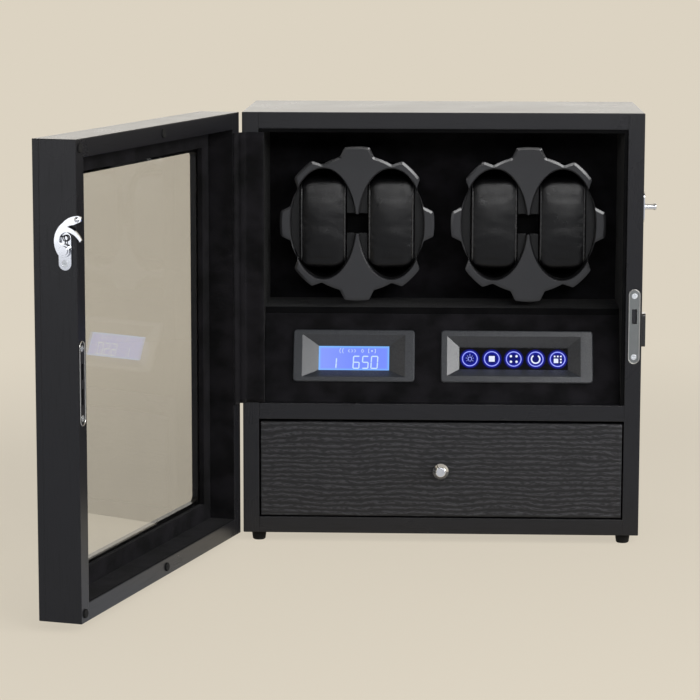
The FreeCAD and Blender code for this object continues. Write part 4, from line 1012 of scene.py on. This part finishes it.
strip = bpy.data.objects.new("hinge_strip", strip_mesh)
bpy.context.scene.collection.objects.link(strip)
thickness = strip.modifiers.new("velvet_thickness", "SOLIDIFY")
thickness.thickness = STRIP_T
thickness.offset = 0.0
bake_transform(strip)
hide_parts("hinge_cover_cabinet", "hinge_cover_door")


# Clasp. A chromed plate on the door's free edge carries a swinging hook on a headed pin, with a
# small coil spring in the hook's window; the hook drops over a turned stud on the right wall.

dress(chrome, "clasp_plate", "clasp_hook", "clasp_stud")

CLASP_PIN = (-10.4, 264.4)
COIL_SPOT = (1.2, 8.6)
COIL_R = 2.0
COIL_X = (162.2, 163.2)
COIL_ENDS = ((-3.2, 9.6), (1.2, 3.9))
COIL_WIRE_R = 0.4 * MM
coil = [COIL_ENDS[0]]
for step in range(51):
    angle = math.radians(150 - 12 * step)
    coil.append((COIL_SPOT[0] + COIL_R * math.cos(angle), COIL_SPOT[1] + COIL_R * math.sin(angle)))
coil.append(COIL_ENDS[1])
coil_path = []
for step, (across, up) in enumerate(coil):
    x = COIL_X[0] + (COIL_X[1] - COIL_X[0]) * step / (len(coil) - 1)
    coil_path.append(opened @ spot_at(x, CLASP_PIN[0] + across, CLASP_PIN[1] + up))
coil_axis = opened.to_3x3() @ Vector((1, 0, 0))
coil_corners, coil_faces = bead(coil_path, COIL_WIRE_R, coil_axis, False)
make("clasp_spring", coil_corners, coil_faces, "clasp", blackened)


# Stage. A pale studio floor that fades into a plain backdrop of the same colour, soft lamps before,
# beside and behind the object, and the camera where the photograph was taken.

BACKDROP = tone(220, 211, 194)
FLOOR_AHEAD = (0.58, 0.6, 0.65, 1.0)
ROOM_AHEAD = (0.12, 0.12, 0.125, 1.0)


def seen_by(nodes, ray):
    return nodes.node("LightPath", {}, {}, "Is %s Ray" % ray)


def shown_background(nodes, ahead, colour):
    """How far a ray sees the plain background, and its colour; ahead is 1 in front of the box."""
    through = seen_by(nodes, "Transmission")
    mirrored = seen_by(nodes, "Glossy") * (1 - through)
    shown = (seen_by(nodes, "Camera") + mirrored + through).least(1)
    return shown, nodes.blend(mirrored * ahead, BACKDROP, colour)


studio = bpy.data.worlds.new("studio")
studio.use_nodes = True
bpy.context.scene.world = studio
room = Nodes(studio.node_tree)
room_way = room.node("TexCoord", {}, {}, "Generated")
room_ahead = (0 - room.part_of(room_way, "Y")).rise(-0.1, 0.4)
room_shown, room_colour = shown_background(room, room_ahead, ROOM_AHEAD)
room_light = room.node("Background", {}, {"Color": (0.92, 0.95, 1.0, 1.0), "Strength": 0.28})
room_wall = room.node("Background", {}, {"Color": room_colour, "Strength": 1.0})
room_mix = room.node("MixShader", {}, {0: room_shown, 1: room_light, 2: room_wall})
room.feed(room.tree.nodes["World Output"], {"Surface": room_mix})

FLOOR_R = 14.0
floor_finish = Finish("studio_floor")
floor_finish.surface({"Base Color": BACKDROP, "Roughness": 0.9, "Specular IOR Level": 0.0})
floor_place = floor_finish.place()
floor_ahead = (0 - floor_finish.part_of(floor_place, "Y")).rise(0.06, 0.32)
floor_shown, floor_colour = shown_background(floor_finish, floor_ahead, FLOOR_AHEAD)
floor_far = floor_finish.node("VectorMath", {"operation": "LENGTH"}, {0: floor_place}, "Value")
floor_plain = floor_shown * (0.78 + 0.22 * floor_far.rise(0.4, 1.1))
floor_glow = floor_finish.node("Emission", {}, {"Color": floor_colour, "Strength": 1.0})
floor_bare = Wire(floor_finish, floor_finish.shader.outputs[0])
floor_mix = floor_finish.node("MixShader", {}, {0: floor_plain, 1: floor_bare, 2: floor_glow})
floor_finish.feed(floor_finish.tree.nodes["Material Output"], {"Surface": floor_mix})
floor_mesh = bpy.data.meshes.new("studio_floor")
floor_rim = []
for degrees in range(0, 360, 5):
    angle = math.radians(degrees)
    floor_rim.append(Vector((FLOOR_R * math.cos(angle), FLOOR_R * math.sin(angle), 0)))
floor_mesh.from_pydata(floor_rim, [], [tuple(range(len(floor_rim)))])
floor_mesh.materials.append(floor_finish.material)
floor = bpy.data.objects.new("studio_floor", floor_mesh)
bpy.context.scene.collection.objects.link(floor)


def softbox(name, position, aim, size, power):
    """A soft lamp of size (width, height) at position that points at aim."""
    lamp = bpy.data.lights.new(name, "AREA")
    lamp.shape = "RECTANGLE"
    lamp.size, lamp.size_y = size
    lamp.energy = power
    holder = bpy.data.objects.new(name, lamp)
    holder.location = position
    holder.rotation_mode = "QUATERNION"
    holder.rotation_quaternion = (Vector(aim) - Vector(position)).to_track_quat("-Z", "Y")
    holder.visible_camera = False
    holder.visible_transmission = False
    bpy.context.scene.collection.objects.link(holder)


softbox("key_lamp", (0.3, -1.5, 0.71), (0, -0.05, 0.22), (1.3, 0.25), 11)
softbox("console_lamp", (0.54, -1.28, 1.22), (0.08, -0.02, 0.15), (0.5, 0.25), 5)
softbox("side_lamp", (2.0, -0.85, 0.9), (0, 0, 0.2), (0.7, 0.7), 30)
softbox("left_card", (-1.5, -2.2, 0.37), (-0.1, -0.2, 0.2), (1.2, 0.7), 2.6)
softbox("rear_card", (-0.2, 2.6, 0.62), (0, 0, 0.3), (4.0, 0.8), 11)

CAMERA_SPOT = Vector((0.00788, -2.25943, 0.48572))
CAMERA_PITCH = 0.1489
CAMERA_YAW = 0.0373
CAMERA_ROLL = 0.0017
CAMERA_LENS = 141.2
ahead = Vector((-math.sin(CAMERA_YAW) * math.cos(CAMERA_PITCH),
                math.cos(CAMERA_YAW) * math.cos(CAMERA_PITCH),
                -math.sin(CAMERA_PITCH)))
camera_data = bpy.data.cameras.new("camera")
camera_data.lens = CAMERA_LENS
camera_data.sensor_width = 36.0
camera_data.dof.use_dof = False
camera = bpy.data.objects.new("camera", camera_data)
camera.matrix_world = (Matrix.Translation(CAMERA_SPOT)
                       @ ahead.to_track_quat("-Z", "Y").to_matrix().to_4x4()
                       @ Matrix.Rotation(CAMERA_ROLL, 4, "Z"))
bpy.context.scene.collection.objects.link(camera)
bpy.context.scene.camera = camera
bpy.context.scene.view_settings.view_transform = "Standard"
